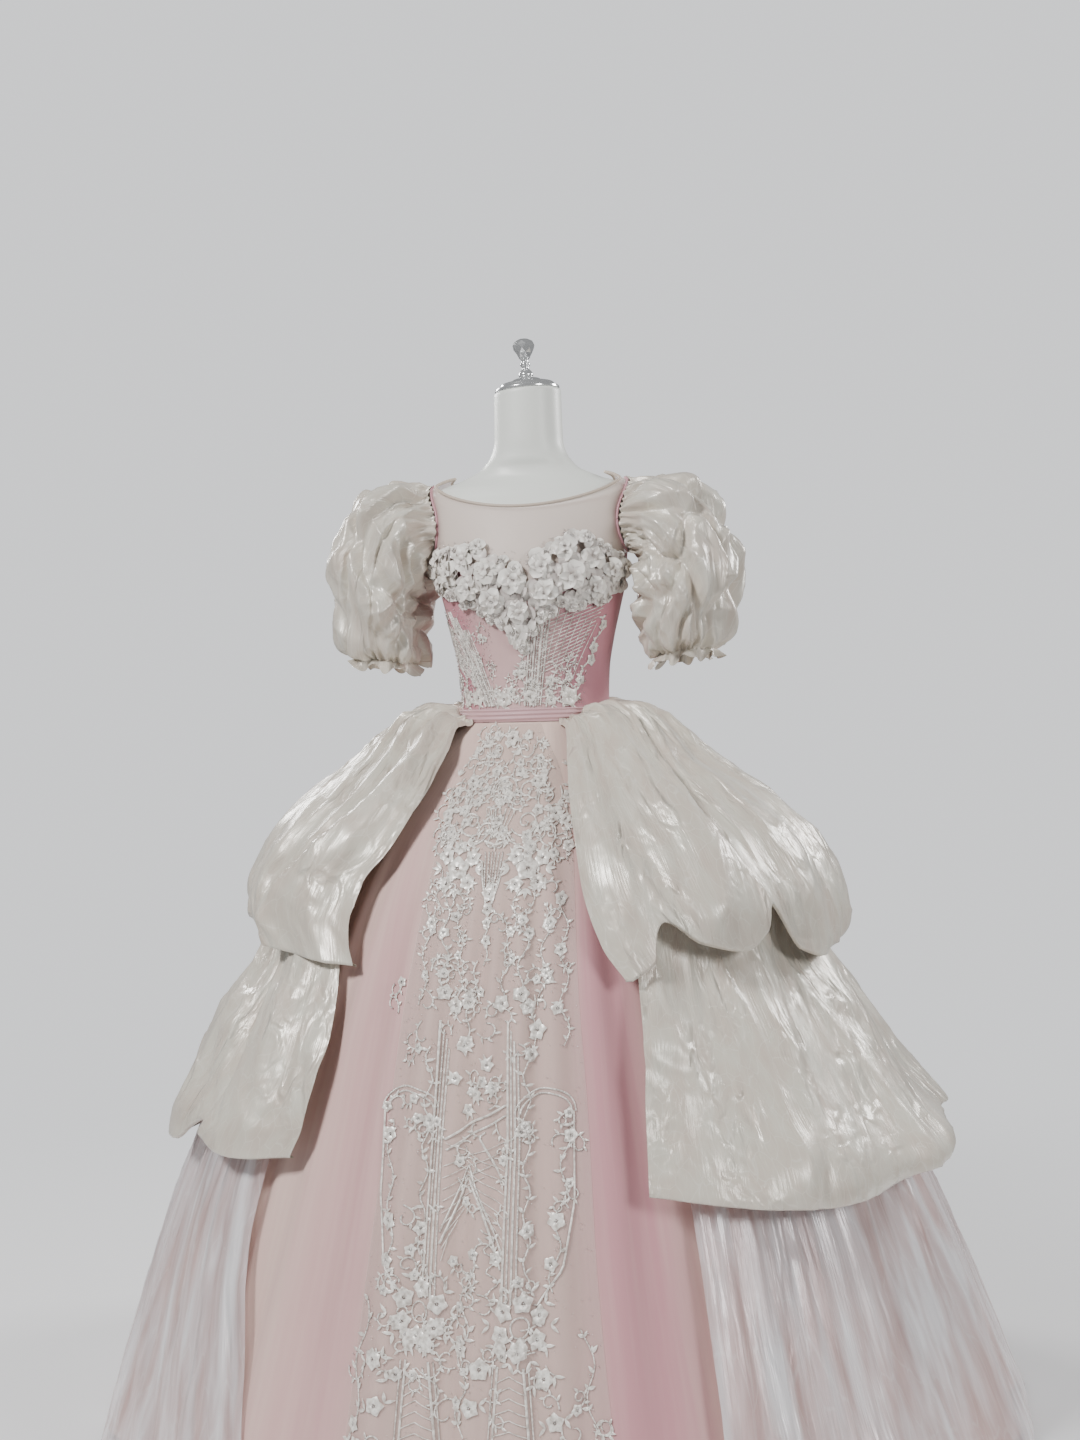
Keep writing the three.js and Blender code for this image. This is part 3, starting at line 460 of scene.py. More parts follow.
tulle = shaded_tulle("shaded_tulle", (0.80, 0.625, 0.535), (0.58, 0.28, 0.31), 420.0)
# name, columns of the mesh, slot: from the centre back round by the wearer's right
SKIRT_PANELS = (
    ("skirt_back_right", 60, "blush_tulle"), ("skirt_side_right", 60, "blush_tulle"),
    ("skirt_side_front_right", 70, "pink_tulle"), ("skirt_front", 70, "cream_tulle"),
    ("skirt_side_front_left", 70, "pink_tulle"), ("skirt_side_left", 60, "blush_tulle"),
    ("skirt_back_left", 60, "blush_tulle"))


def uv_of(points, closed=False):
    """Cloth coordinates in metres: distance across the widest row and down the middle column."""
    wide = np.concatenate([points, points[:, :1]], 1) if closed else points
    row = wide[np.argmax(np.linalg.norm(np.diff(wide, axis=1), axis=-1).sum(1))]
    u = np.concatenate([[0], np.cumsum(np.linalg.norm(np.diff(row, axis=0), axis=-1))])
    column = points[:, points.shape[1] // 2]
    v = np.concatenate([[0], np.cumsum(np.linalg.norm(np.diff(column, axis=0), axis=-1))])
    return np.stack(np.meshgrid(u, v), -1)


SKIRT_ROWS = 70
skirt_z = np.linspace(WAIST_Z - 0.0004, HEM_Z, SKIRT_ROWS)
for k, (panel, columns, panel_slot) in enumerate(SKIRT_PANELS):
    u_grid, z_grid = np.meshgrid(np.linspace(0, 1, columns), skirt_z)
    seam = front_seam(z_grid)
    seams = (-math.pi, -SIDE_SEAM, -SIDE_FRONT_SEAM, -seam, seam, SIDE_FRONT_SEAM, SIDE_SEAM, math.pi)
    angle_grid = seams[k] + (seams[k + 1] - seams[k]) * u_grid
    panel_points = station(angle_grid, skirt_radius(angle_grid, z_grid), z_grid)
    panel_piece = new_surface(panel + "_cloth", panel_points, tulle, panel_slot, uv=uv_of(panel_points),
                              marks={"blush": blush_at(angle_grid, z_grid)})
    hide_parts(panel)

# Bodice
# Five close-fitted panels of pink satin under tulle, boned along the seams, closed at the centre back.

BODICE_TOP_Z = 1.330
BAND_TOP_Z = 1.092
BODICE_SEAMS = (
    ("bodice_back_right", -180, -95), ("bodice_side_front_right", -95, -33), ("bodice_front", -33, 33),
    ("bodice_side_front_left", 33, 95), ("bodice_back_left", 95, 180))
bodice_satin = shaded_tulle("bodice_satin_pink", (0.68, 0.45, 0.44), (0.56, 0.24, 0.285), 500.0)
bodice_satin.node_tree.nodes["Principled BSDF"].inputs["Roughness"].default_value = 0.5
# angle, upper and lower edge of the band of flowers on the bust
BUST_BAND = np.array([
    (-75, 1.330, 1.296), (-68, 1.338, 1.290), (-45, 1.332, 1.262), (-28, 1.340, 1.244), (-8, 1.312, 1.212),
    (2, 1.306, 1.184), (10, 1.318, 1.220), (28, 1.352, 1.248), (45, 1.340, 1.250), (68, 1.322, 1.272),
    (75, 1.316, 1.280)])


def sweetheart_z(angle):
    """Height of the satin's upper edge: under the flowers in front, level round the back."""
    degrees = angle / DEGREE
    middle = np.interp(degrees, BUST_BAND[:, 0], BUST_BAND[:, 1:].mean(1) + 0.012)
    return np.minimum(BODICE_TOP_Z, middle + (BODICE_TOP_Z - middle) * smooth(np.abs(degrees), 70, 84))


for panel, first, last in BODICE_SEAMS:
    u_grid, v_grid = np.meshgrid(np.linspace(0, 1, 45), np.linspace(0, 1, 50))
    angle_grid = (first + (last - first) * u_grid) * DEGREE
    z_grid = sweetheart_z(angle_grid) * (1 - v_grid) + WAIST_Z * v_grid
    pinkness = smooth(np.abs(np.degrees(angle_grid) + 6), 14, 48)
    panel_points = figure(angle_grid, z_grid)
    out = normals_of(panel_points)
    seam_dip = -0.0012 * (np.exp(-((u_grid / 0.03) ** 2)) + np.exp(-(((1 - u_grid) / 0.03) ** 2)))
    panel_points = panel_points + out * seam_dip[..., None]
    panel_piece = new_surface(panel + "_cloth", panel_points, bodice_satin, "bodice_satin",
                              uv=uv_of(panel_points), marks={"blush": pinkness})
    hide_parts(panel)

# Waistband
# A narrow band of pink satin in soft level pleats, sewn over the seam of bodice and skirt.

BAND_LIFT = 0.0030


def satin_weave(finish, scale, strength):
    """Fine crossed threads as bump on the cloth's own coordinates."""
    cloth = add_node(finish, "ShaderNodeUVMap", uv_map="cloth")
    both = add_node(finish, "ShaderNodeMath", operation="ADD")
    for socket, direction in enumerate("XY"):
        thread = add_node(finish, "ShaderNodeTexWave", bands_direction=direction, Scale=scale)
        link(finish, cloth, "UV", thread, "Vector")
        link(finish, thread, "Fac", both, socket)
    bump_on(finish, both, 0, strength, 0.0004)


waist_satin = plain_finish("waist_satin_pink", (0.62, 0.38, 0.40), 0.42, Sheen_Weight=0.3, Coat_Weight=0.2)
satin_weave(waist_satin, 300.0, 0.15)
u_grid, v_grid = np.meshgrid(np.linspace(-1, 1, 181)[:-1], np.linspace(0, 1, 24))
band_z = BAND_TOP_Z + (WAIST_Z + 0.001 - BAND_TOP_Z) * v_grid
band_points = figure(u_grid * math.pi, band_z)
band_pleat = 0.0009 * np.sin(v_grid * 6 * math.pi + 0.6 * np.sin(u_grid * 9)) - 0.0016 * (2 * v_grid - 1) ** 6
band_points = band_points + normals_of(band_points, closed=True) * (BAND_LIFT + band_pleat)[..., None]
waistband = new_surface("waistband_cloth", band_points, waist_satin, "waist_satin", closed=True,
                        uv=uv_of(band_points, closed=True))
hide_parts("waistband")

# Yoke
# Sheer nude mesh from the bodice's top edge to a round neckline, seamed at the shoulders, with a narrow
# bound neck edge and pink piping round the armholes.

NECK_FRONT_Z, NECK_BACK_Z, NECK_SIDE_Z = 1.400, 1.432, 1.457
ARMHOLE_Z, ARMHOLE_TALL, ARMHOLE_SPREAD, CHEST_RADIUS = 1.390, 0.057, 24 * DEGREE, 0.150


def neckline_z(angle):
    """Height of the neckline: lowest at the centre front, a little higher at the centre back."""
    low = np.where(np.cos(angle) > 0, NECK_FRONT_Z, NECK_BACK_Z)
    return NECK_SIDE_Z + (low - NECK_SIDE_Z) * np.abs(np.cos(angle)) ** 1.35


def armhole_angle(z, edge):
    """Angle from the centre line to the armhole's edge, an oval round the side of the chest."""
    above = (z - ARMHOLE_Z) / (ARMHOLE_TALL + edge)
    return 90 * DEGREE - (ARMHOLE_SPREAD + edge / CHEST_RADIUS) * np.sqrt(np.maximum(0, 1 - above**2))


def yoke_quarter(reach, v, side, edge=0.001):
    """Angle and height in a front quarter of the yoke: reach runs from the centre line to the shoulder
    seam and v from the neckline down, and the quarter is drawn in round the armhole."""
    low = sweetheart_z(side * reach * 90 * DEGREE) - 0.004 * (1 - smooth(reach, 0.8, 0.95))
    z = neckline_z(reach * 90 * DEGREE) * (1 - v) + low * v
    room = np.maximum(0, 90 * DEGREE - armhole_angle(z, edge))
    return reach * 90 * DEGREE - reach**2 * room * smooth(v, 0, 0.15), z


def sheer_mesh(name, colour, alpha, scale):
    """Fine net: a see-through cloth whose threads catch a little light."""
    finish = plain_finish(name, colour, 0.6, Sheen_Weight=0.3, Alpha=alpha)
    net_on(finish, scale, 0.15, 0.0004)
    return finish


NUDE, SHOULDER_PINK = (0.84, 0.69, 0.62), (0.70, 0.44, 0.45)
yoke_net = sheer_mesh("yoke_mesh_nude", NUDE, 0.62, 900.0)
pink_edge = add_node(yoke_net, "ShaderNodeAttribute", attribute_name="blush")
link_shader(yoke_net, ramp_on(yoke_net, pink_edge, "Fac", NUDE, SHOULDER_PINK), "Color", "Base Color")
u_grid, v_grid = np.meshgrid(np.linspace(-1, 1, 140), np.linspace(0, 1, 60))
yoke_angle, yoke_z = yoke_quarter(np.abs(u_grid), v_grid, np.sign(u_grid))
yoke_points = figure(np.sign(u_grid) * yoke_angle, yoke_z)
yoke_front = new_surface("yoke_front_mesh", yoke_points, yoke_net, "yoke_mesh", uv=uv_of(yoke_points),
                         marks={"blush": smooth(np.abs(u_grid), 0.86, 1.0)})
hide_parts("yoke_front")
for side_name, side in (("left", 1), ("right", -1)):
    u_grid, v_grid = np.meshgrid(np.linspace(0, 1, 70), np.linspace(0, 1, 60))
    reach = 1 - u_grid if side > 0 else u_grid
    back_z = neckline_z(math.pi - reach * 90 * DEGREE) * (1 - v_grid) + BODICE_TOP_Z * v_grid
    room = np.maximum(0, 90 * DEGREE - armhole_angle(back_z, 0.001))
    drawn = reach * 90 * DEGREE - reach**2 * room * smooth(v_grid, 0, 0.15)
    yoke_points = figure(side * (math.pi - drawn), back_z)
    yoke_back = new_surface(f"yoke_back_{side_name}_mesh", yoke_points, yoke_net, "yoke_mesh",
                            uv=uv_of(yoke_points), marks={"blush": smooth(reach, 0.86, 1.0)})
    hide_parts(f"yoke_back_{side_name}")


def unit(vectors):
    """Vectors brought to length 1."""
    return vectors / np.linalg.norm(vectors, axis=-1, keepdims=True)


def closed_tube(name, path, radius, finish, slot_name, sides=10):
    """A round cord along a closed path: a circle at each point, square to the path, in quads that close
    both ways round."""
    ahead = unit(np.roll(path, -1, 0) - np.roll(path, 1, 0))
    up = unit(np.array([0.0, 0.0, 1.0]) - ahead * ahead[:, 2:])
    turn = np.linspace(0, 2 * math.pi, sides + 1)[:-1, None, None]
    rings = path[None] + radius * (np.cos(turn) * up[None] + np.sin(turn) * np.cross(ahead, up)[None])
    columns = len(path)
    j, i = np.mgrid[0:sides, 0:columns]
    row, next_row, next_i = j * columns, (j + 1) % sides * columns, (i + 1) % columns
    faces = np.stack([row + i, next_row + i, next_row + next_i, row + next_i], -1).reshape(-1, 4)
    return new_piece(name, rings.reshape(-1, 3), faces, finish, slot_name)


neck_satin = plain_finish("neck_binding_satin", (0.55, 0.46, 0.38), 0.5, Sheen_Weight=0.2)
piping_satin = plain_finish("armhole_piping_satin", (0.58, 0.30, 0.34), 0.5, Sheen_Weight=0.2)
BINDING_RADIUS = 0.0024
neck_angle = np.linspace(-math.pi, math.pi, 241)[:-1]
neck_edge = figure(neck_angle, neckline_z(neck_angle))
neck_z = neckline_z(neck_angle)
above_edge = unit(figure(neck_angle, neck_z + 0.0005) - figure(neck_angle, neck_z - 0.0005))
neck_round = figure(neck_angle + 0.001, neck_z) - figure(neck_angle - 0.001, neck_z)
neck_out = unit(np.cross(neck_round, above_edge))
neck_path = neck_edge + above_edge * (BINDING_RADIUS * 0.8) + neck_out * (BINDING_RADIUS * 0.4)
binding = closed_tube("neck_binding_cord", neck_path, BINDING_RADIUS, neck_satin, "neck_satin")
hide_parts("neck_binding")


def armhole(turn, side, lift):
    """The armhole's edge on the figure, lifted outwards: turn 0 is the shoulder point, a quarter turn is
    its front."""
    z = ARMHOLE_Z + ARMHOLE_TALL * np.cos(turn)
    angle = side * (90 * DEGREE - ARMHOLE_SPREAD * np.sin(turn))
    step = 1e-4
    along = figure(angle, z - step) - figure(angle, z + step)
    across = figure(angle + step, z) - figure(angle - step, z)
    return figure(angle, z) + unit(np.cross(along, across)) * lift


PIPING_LIFT, PIPING_RADIUS = 0.0012, 0.0019
for side_name, side in (("left", 1), ("right", -1)):
    turn = np.linspace(0, 2 * math.pi, 121)[:-1]
    piping = closed_tube(f"armhole_piping_{side_name}_cord", armhole(turn, side, PIPING_LIFT), PIPING_RADIUS,
                         piping_satin, "armhole_satin")
    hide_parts(f"armhole_piping_{side_name}")

# Puff sleeves
# Short puffs of crisp pearly organza, gathered hard into the armhole and into the cuff, so that the
# cloth crumples into deep uneven creases. A narrow frill stands out below each cuff.

# share of the way from armhole to cuff, outline outside (x, z) and inside (x, z), half depth
PUFF = np.array([
    (0, 0.166, 1.451, 0.164, 1.331, 0.058), (0.14, 0.207, 1.459, 0.165, 1.316, 0.084),
    (0.28, 0.262, 1.442, 0.165, 1.296, 0.104), (0.42, 0.303, 1.402, 0.165, 1.272, 0.114),
    (0.56, 0.325, 1.350, 0.165, 1.246, 0.117), (0.7, 0.333, 1.289, 0.167, 1.218, 0.112),
    (0.85, 0.318, 1.222, 0.176, 1.188, 0.092), (1, 0.283, 1.180, 0.196, 1.170, 0.058)])
SLEEVE_START = 0.0045       # the first ring's distance from the body
FRILL_DROP = 0.015
SLEEVE_COLUMNS, SLEEVE_ROWS = 230, 150
# how far these stand out: the largest lobes, the tilt of each, the long folds that swirl out of the
# armhole, the fine ones between them, the tilt of the smaller cells and the ridges where those meet
LOBE_RISE, LOBE_TILT, LONG_FOLD, FINE_FOLD, CELL_TILT, CELL_RIDGE = 0.021, 0.013, 0.0125, 0.0034, 0.0085, 0.0022
LOBE_SIZE, CELL_SIZE = 0.062, 0.046
CUFF_ROLL, GATHER_RISE, GATHERS = 0.011, 0.0022, 34


def puff(turn, v, side):
    """A ring of the sleeve at each v: an oval between its outer and inner outline, eased out of the
    armhole's own curve."""
    outer = np.stack([side * through(PUFF, 1, v), 0 * v, through(PUFF, 2, v)], -1)
    inner = np.stack([side * through(PUFF, 3, v), 0 * v, through(PUFF, 4, v)], -1)
    ring = (outer + inner) / 2 + (outer - inner) / 2 * np.cos(turn)[..., None]
    ring[..., 1] -= through(PUFF, 5, v) * np.sin(turn)
    ease = smooth(v, 0, 0.16)[..., None]
    return armhole(turn, side, SLEEVE_START) * (1 - ease) + ring * ease


def crushed(points, size, seed, crease):
    """Crushed cloth at each point. Space is cut into uneven cells of the given size, and each cell tilts
    the cloth its own way: the height is the mean of the cells' planes, each weighted by
    exp(-crease * distance^2) from its middle. The second number returned is 0 where two cells meet and
    grows into them."""
    table = np.random.default_rng(seed).uniform(-0.5, 0.5, (16, 16, 16, 6))
    place = points / size
    base = np.floor(place)
    weight_sum, height_sum = 0, 0
    nearest, second = np.full(points.shape[:-1], 9.0), np.full(points.shape[:-1], 9.0)
    for step in np.ndindex(3, 3, 3):
        cell = base + np.array(step) - 1
        key = np.mod(cell, 16).astype(int)
        drawn = table[key[..., 0], key[..., 1], key[..., 2]]
        away = place - (cell + 0.5 + 0.9 * drawn[..., :3])
        far = np.linalg.norm(away, axis=-1)
        weight = np.exp(-crease * far**2)
        weight_sum = weight_sum + weight
        height_sum = height_sum + weight * (2 * (away * drawn[..., 3:]).sum(-1) + drawn[..., 3])
        second = np.minimum(second, np.maximum(nearest, far))
        nearest = np.minimum(nearest, far)
    return height_sum / weight_sum, second - nearest


def warped(points, size, amount, seed):
    """Points swayed by long waves, so that what is worked out from them bends."""
    phase = np.random.default_rng(seed).uniform(0, 2 * math.pi, 6)
    x, y, z = np.moveaxis(points / size, -1, 0)
    return points + amount * np.stack([
        np.sin(2.1 * z + 1.3 * y + phase[0]) + 0.5 * np.sin(4.3 * y + phase[3]),
        np.sin(1.9 * x + 1.6 * z + phase[1]) + 0.5 * np.sin(3.9 * z + phase[4]),
        np.sin(2.3 * y + 1.2 * x + phase[2]) + 0.5 * np.sin(4.1 * x + phase[5])], -1)


def crinkled_organza(name, colour, hollow, cell, slope, stretch=1.0, alpha=(1.0, 1.0), metal=0.06):
    """Liquid organza: stiff pearly cloth that is crushed softly and glossy along drawn-out threads. Two
    sizes of cell, each tilted its own way and blended with its neighbours, are bump, stronger in some
    patches than in others, with thread noise under them. The colour runs from hollow to colour in random
    clouds, which are partly the cloth's own uneven tone and partly painted shade, and lighter lines along
    the edges of cells are painted highlights, as the glint on crease lines. Cells are `cell` metres wide
    and `stretch` times as long; `slope` is the bump's depth in cells, and alpha runs from the sheerest
    clouds to the densest."""
    finish = plain_finish(name, colour, 0.33, Metallic=metal, Coat_Weight=0.34, Coat_Roughness=0.22,
                          Sheen_Weight=0.25, Sheen_Roughness=0.35)
    cloth = add_node(finish, "ShaderNodeUVMap", uv_map="cloth")
    sized = add_node(finish, "ShaderNodeMapping", vector_type="TEXTURE", Scale=(cell, cell * stretch, cell))
    link(finish, cloth, "UV", sized, "Vector")
    sway = add_node(finish, "ShaderNodeTexNoise", Scale=0.45, Detail=2.0)
    link(finish, sized, "Vector", sway, "Vector")
    mixed = add_node(finish, "ShaderNodeMix", data_type="RGBA", blend_type="LINEAR_LIGHT", Factor=0.75)
    link(finish, sized, "Vector", mixed, "A")
    link(finish, sway, "Color", mixed, "B")
    heights = []
    for density in (1.0, 2.7):
        cells = add_node(finish, "ShaderNodeTexVoronoi", feature="SMOOTH_F1", Scale=density, Smoothness=0.75)
        away = add_node(finish, "ShaderNodeVectorMath", operation="SUBTRACT")
        tilt = add_node(finish, "ShaderNodeVectorMath", operation="SUBTRACT")
        tilt.inputs[1].default_value = (0.5, 0.5, 0.5)
        plane = add_node(finish, "ShaderNodeVectorMath", operation="DOT_PRODUCT")
        link(finish, mixed, "Result", cells, "Vector")
        link(finish, mixed, "Result", away, 0)
        link(finish, cells, "Position", away, 1)
        link(finish, cells, "Color", tilt, 0)
        link(finish, away, "Vector", plane, 0)
        link(finish, tilt, "Vector", plane, 1)
        heights.append(plane)
    scaled = add_node(finish, "ShaderNodeMath", operation="MULTIPLY_ADD")
    scaled.inputs[1].default_value = 0.45
    link(finish, heights[1], "Value", scaled, 0)
    link(finish, heights[0], "Value", scaled, 2)
    patch = add_node(finish, "ShaderNodeTexNoise", Scale=0.33, Detail=1.0)
    link(finish, sized, "Vector", patch, "Vector")
    where = add_node(finish, "ShaderNodeMapRange", interpolation_type="SMOOTHSTEP", From_Min=0.40,
                     From_Max=0.60, To_Min=0.12)
    link(finish, patch, "Fac", where, "Value")
    both = add_node(finish, "ShaderNodeMath", operation="MULTIPLY")
    link(finish, scaled, 0, both, 0)
    link(finish, where, "Result", both, 1)
    relief = bump_on(finish, both, 0, 1.0, cell * slope)
    link_shader(finish, relief, "Normal", "Coat Normal")
    threads = add_node(finish, "ShaderNodeMapping", vector_type="TEXTURE", Scale=(0.0032, 0.050, 1))
    link(finish, cloth, "UV", threads, "Vector")
    slubs = add_node(finish, "ShaderNodeTexNoise", Scale=1.0, Detail=3.0)
    link(finish, threads, "Vector", slubs, "Vector")
    silk = add_node(finish, "ShaderNodeBump", Strength=1.0, Distance=0.0007)
    link(finish, slubs, "Fac", silk, "Height")
    link(finish, silk, "Normal", relief, "Normal")
    # Partly painted shade: random clouds of the darker hollow colour over the cloth's own uneven tone.
    tone = add_node(finish, "ShaderNodeTexNoise", Scale=0.8, Detail=3.0)
    link(finish, mixed, "Result", tone, "Vector")
    # Painted highlight: lighter lines along the edges of cells, drawn as the glint on crease lines.
    edges = add_node(finish, "ShaderNodeTexVoronoi", feature="DISTANCE_TO_EDGE", Scale=1.6)
    link(finish, mixed, "Result", edges, "Vector")
    crease_highlight_mask = add_node(finish, "ShaderNodeMapRange", interpolation_type="SMOOTHSTEP", From_Max=0.035,
                    To_Min=0.60)
    link(finish, edges, "Distance", crease_highlight_mask, "Value")
    crease_highlight = add_node(finish, "ShaderNodeMix", data_type="RGBA")
    link(finish, crease_highlight_mask, "Result", crease_highlight, "Factor")
    link(finish, ramp_on(finish, tone, "Fac", hollow, colour, 0.30, 0.66), "Color", crease_highlight, "B")
    highlight_colour = (min(1, part * gain) for part, gain in zip(colour, (1.22, 1.24, 1.30)))
    crease_highlight.inputs["A"].default_value = (*highlight_colour, 1)
    link_shader(finish, crease_highlight, "Result", "Base Color")
    if alpha[0] < 1:
        cover = add_node(finish, "ShaderNodeMapRange", From_Min=0.32, From_Max=0.68, To_Min=alpha[0],
                         To_Max=alpha[1])
        link(finish, tone, "Fac", cover, "Value")
        link_shader(finish, cover, "Result", "Alpha")
    return finish


def dented(points, side, dents):
    """How far to push in at each point: soft round dents given by side, place and size."""
    total = np.zeros(points.shape[:-1])
    for dent_side, x, y, z, size, depth in dents:
        if dent_side == side:
            total += depth * np.exp(-(((points - [side * x, y, z]) / size) ** 2).sum(-1))
    return total


# side, place (x is away from the middle), size, depth: the hollows between the largest lobes
PUFF_DENTS = (
    (-1, 0.330, 0.0, 1.385, 0.080, 0.020), (-1, 0.340, 0.0, 1.310, 0.055, 0.034),
    (1, 0.318, -0.01, 1.382, 0.034, 0.022), (1, 0.325, 0.0, 1.230, 0.035, 0.012),
    (-1, 0.318, -0.02, 1.375, 0.040, 0.024), (-1, 0.330, 0.03, 1.310, 0.030, 0.010),
    (-1, 0.250, -0.09, 1.350, 0.035, 0.016), (-1, 0.230, -0.02, 1.450, 0.025, 0.012),
    (-1, 0.300, -0.05, 1.225, 0.025, 0.014), (1, 0.300, -0.01, 1.405, 0.028, 0.016),
    (1, 0.325, -0.02, 1.268, 0.028, 0.014), (1, 0.245, -0.09, 1.330, 0.035, 0.016),
    (1, 0.235, -0.03, 1.455, 0.022, 0.010), (1, 0.270, -0.07, 1.235, 0.025, 0.012))
sleeve_organza = crinkled_organza("sleeve_organza_pearl", (0.70, 0.665, 0.58), (0.62, 0.54, 0.46), 0.028,
                                  0.32, 1.6, metal=0.14)
for side_name, side in (("left", 1), ("right", -1)):
    turn_grid, v_grid = np.meshgrid(np.linspace(0, 2 * math.pi, SLEEVE_COLUMNS + 1)[:-1],
                                    np.linspace(0, 1, SLEEVE_ROWS))
    sleeve_points = puff(turn_grid, v_grid, side)
    out = -side * normals_of(sleeve_points, closed=True)
    fullness = np.sin(math.pi * np.clip(v_grid, 0.002, 0.998)) ** 0.42
    spin = turn_grid + side * (0.9 * v_grid + 0.35 * np.sin(5 * v_grid))
    wrap = np.stack([0.105 * np.cos(spin), 0.105 * np.sin(spin), 0.30 * v_grid], -1)
    lobe_place = warped(wrap, 0.10, 0.020, 13 + side) * [1, 1, 0.50]
    cell_place = warped(wrap, 0.07, 0.014, 23 + side) * [1, 1, 0.50]
    lobe_tilt, lobe_inside = crushed(lobe_place, LOBE_SIZE, 61 + side, 5.0)
    cell_tilt, cell_inside = crushed(cell_place, CELL_SIZE, 71 + side, 6.5)
    ridge = np.exp(-cell_inside / 0.08) - 0.2
    swirl = 2.4 * np.sin(3.4 * v_grid + 2 * turn_grid + side) + 0.9 * np.sin(8 * v_grid - 3 * turn_grid)
    long_fold = np.abs(np.sin(4 * spin + swirl)) ** 0.75 - 0.6
    fine_fold = np.abs(np.sin(9 * spin + 1.7 * swirl + 4 * v_grid)) ** 0.8 - 0.6
    lift = fullness * (LOBE_RISE * (smooth(lobe_inside, 0.0, 0.42) - 0.66) + LOBE_TILT * lobe_tilt
                       - LONG_FOLD * long_fold - FINE_FOLD * fine_fold + CELL_TILT * cell_tilt
                       + CELL_RIDGE * ridge * smooth(lobe_inside, 0.1, 0.5))
    lift += CUFF_ROLL * np.exp(-(((v_grid - 0.92) / 0.07) ** 2))
    lift -= fullness * dented(sleeve_points, side, PUFF_DENTS)
    gathers = GATHER_RISE * np.sin(GATHERS * turn_grid + 2 * np.sin(5 * turn_grid))
    lift += gathers * (np.exp(-((v_grid / 0.12) ** 2)) + np.exp(-(((1 - v_grid) / 0.10) ** 2)))
    sleeve_points = sleeve_points + out * lift[..., None]
    sleeve = new_surface(f"sleeve_{side_name}_cloth", sleeve_points, sleeve_organza, "pearl_organza",
                         closed=True, hand=-side, uv=uv_of(sleeve_points, closed=True))
    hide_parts(f"sleeve_{side_name}")
    turn_grid, v_grid = np.meshgrid(np.linspace(0, 2 * math.pi, 241)[:-1], np.linspace(0, 1, 18))
    cuff_ring = puff(turn_grid, 0 * v_grid + 1, side)
    cuff_middle = np.array([side * (PUFF[-1, 1] + PUFF[-1, 3]) / 2, 0, PUFF[-1, 4] + 0.004])
    fine_wave = np.sin(11 * turn_grid + np.sin(3 * turn_grid))
    frill_wave = 0.20 + 0.14 * np.sin(5 * turn_grid + side) + 0.15 * fine_wave
    frill_points = (cuff_ring - cuff_middle) * (1 + v_grid * frill_wave)[..., None] + cuff_middle
    frill_drop = FRILL_DROP * (1 + 0.35 * np.sin(7 * turn_grid + 1)) - 0.003 * np.sin(13 * turn_grid)
    frill_points[..., 2] -= v_grid * frill_drop
    frill = new_surface(f"sleeve_frill_{side_name}_cloth", frill_points, sleeve_organza, "pearl_organza",
                        closed=True, hand=-side, uv=uv_of(frill_points, closed=True))
    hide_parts(f"sleeve_frill_{side_name}")

# Tiers and overlay
# Crinkled organza over the skirt, open in front. The upper tier is pleated into the waist and its rolled
# hem is swagged up in uneven scallops, the lower one comes from under it, and long sheer panels hang
# from there to the floor.

# share of the rise, radius, height
UPPER_RISE = np.array([(0, 0.1226, 1.077), (0.3, 0.136, 1.095), (0.6, 0.166, 1.098), (1, 0.214, 1.076)])
LOWER_RISE = np.array([(0, 0.3082, 0.899), (0.5, 0.340, 0.892), (1, 0.386, 0.852)])
OVERLAY_RISE = np.array([(0, 0.4875, 0.556), (1, 0.504, 0.536)])
# height, greatest radius
UPPER_FALL = np.array([(0.700, 0.461), (0.760, 0.466), (0.800, 0.467), (0.826, 0.462), (0.888, 0.426),
                       (0.948, 0.364), (1.010, 0.287), (1.042, 0.252), (1.076, 0.214)])
LOWER_FALL = np.array([(0.400, 0.619), (0.440, 0.622), (0.471, 0.616), (0.500, 0.602), (0.530, 0.580),
                       (0.584, 0.536), (0.643, 0.493), (0.674, 0.470), (0.735, 0.432), (0.770, 0.420),
                       (0.800, 0.411), (0.852, 0.386)])
OVERLAY_FALL = np.array([(0.008, 0.729), (0.1, 0.692), (0.2, 0.651), (0.3, 0.611), (0.378, 0.579),
                         (0.450, 0.548), (0.536, 0.504)])
# height, angle of the front edge, for the wearer's left (1) and right (-1)
UPPER_EDGE = {
    1: np.array([(0.724, 24.5), (0.770, 21), (0.860, 18.5), (0.950, 19), (1.010, 22), (1.076, 31),
                 (1.098, 33)]),
    -1: np.array([(0.740, 28), (0.770, 30), (0.800, 31.5), (0.850, 31.5), (0.890, 28), (0.960, 26),
                  (1.020, 31), (1.076, 52), (1.098, 58)])}
LOWER_EDGE = {1: np.array([(0.464, 23), (0.580, 24.5), (0.735, 27.5), (0.900, 30)]),
              -1: np.array([(0.490, 31), (0.530, 29), (0.620, 28.5), (0.735, 33), (0.900, 38)])}
OVERLAY_EDGE = {1: np.array([(0.008, 27), (0.2, 28), (0.556, 30)]),
                -1: np.array([(0.008, 26), (0.2, 31), (0.4, 37), (0.556, 38)])}
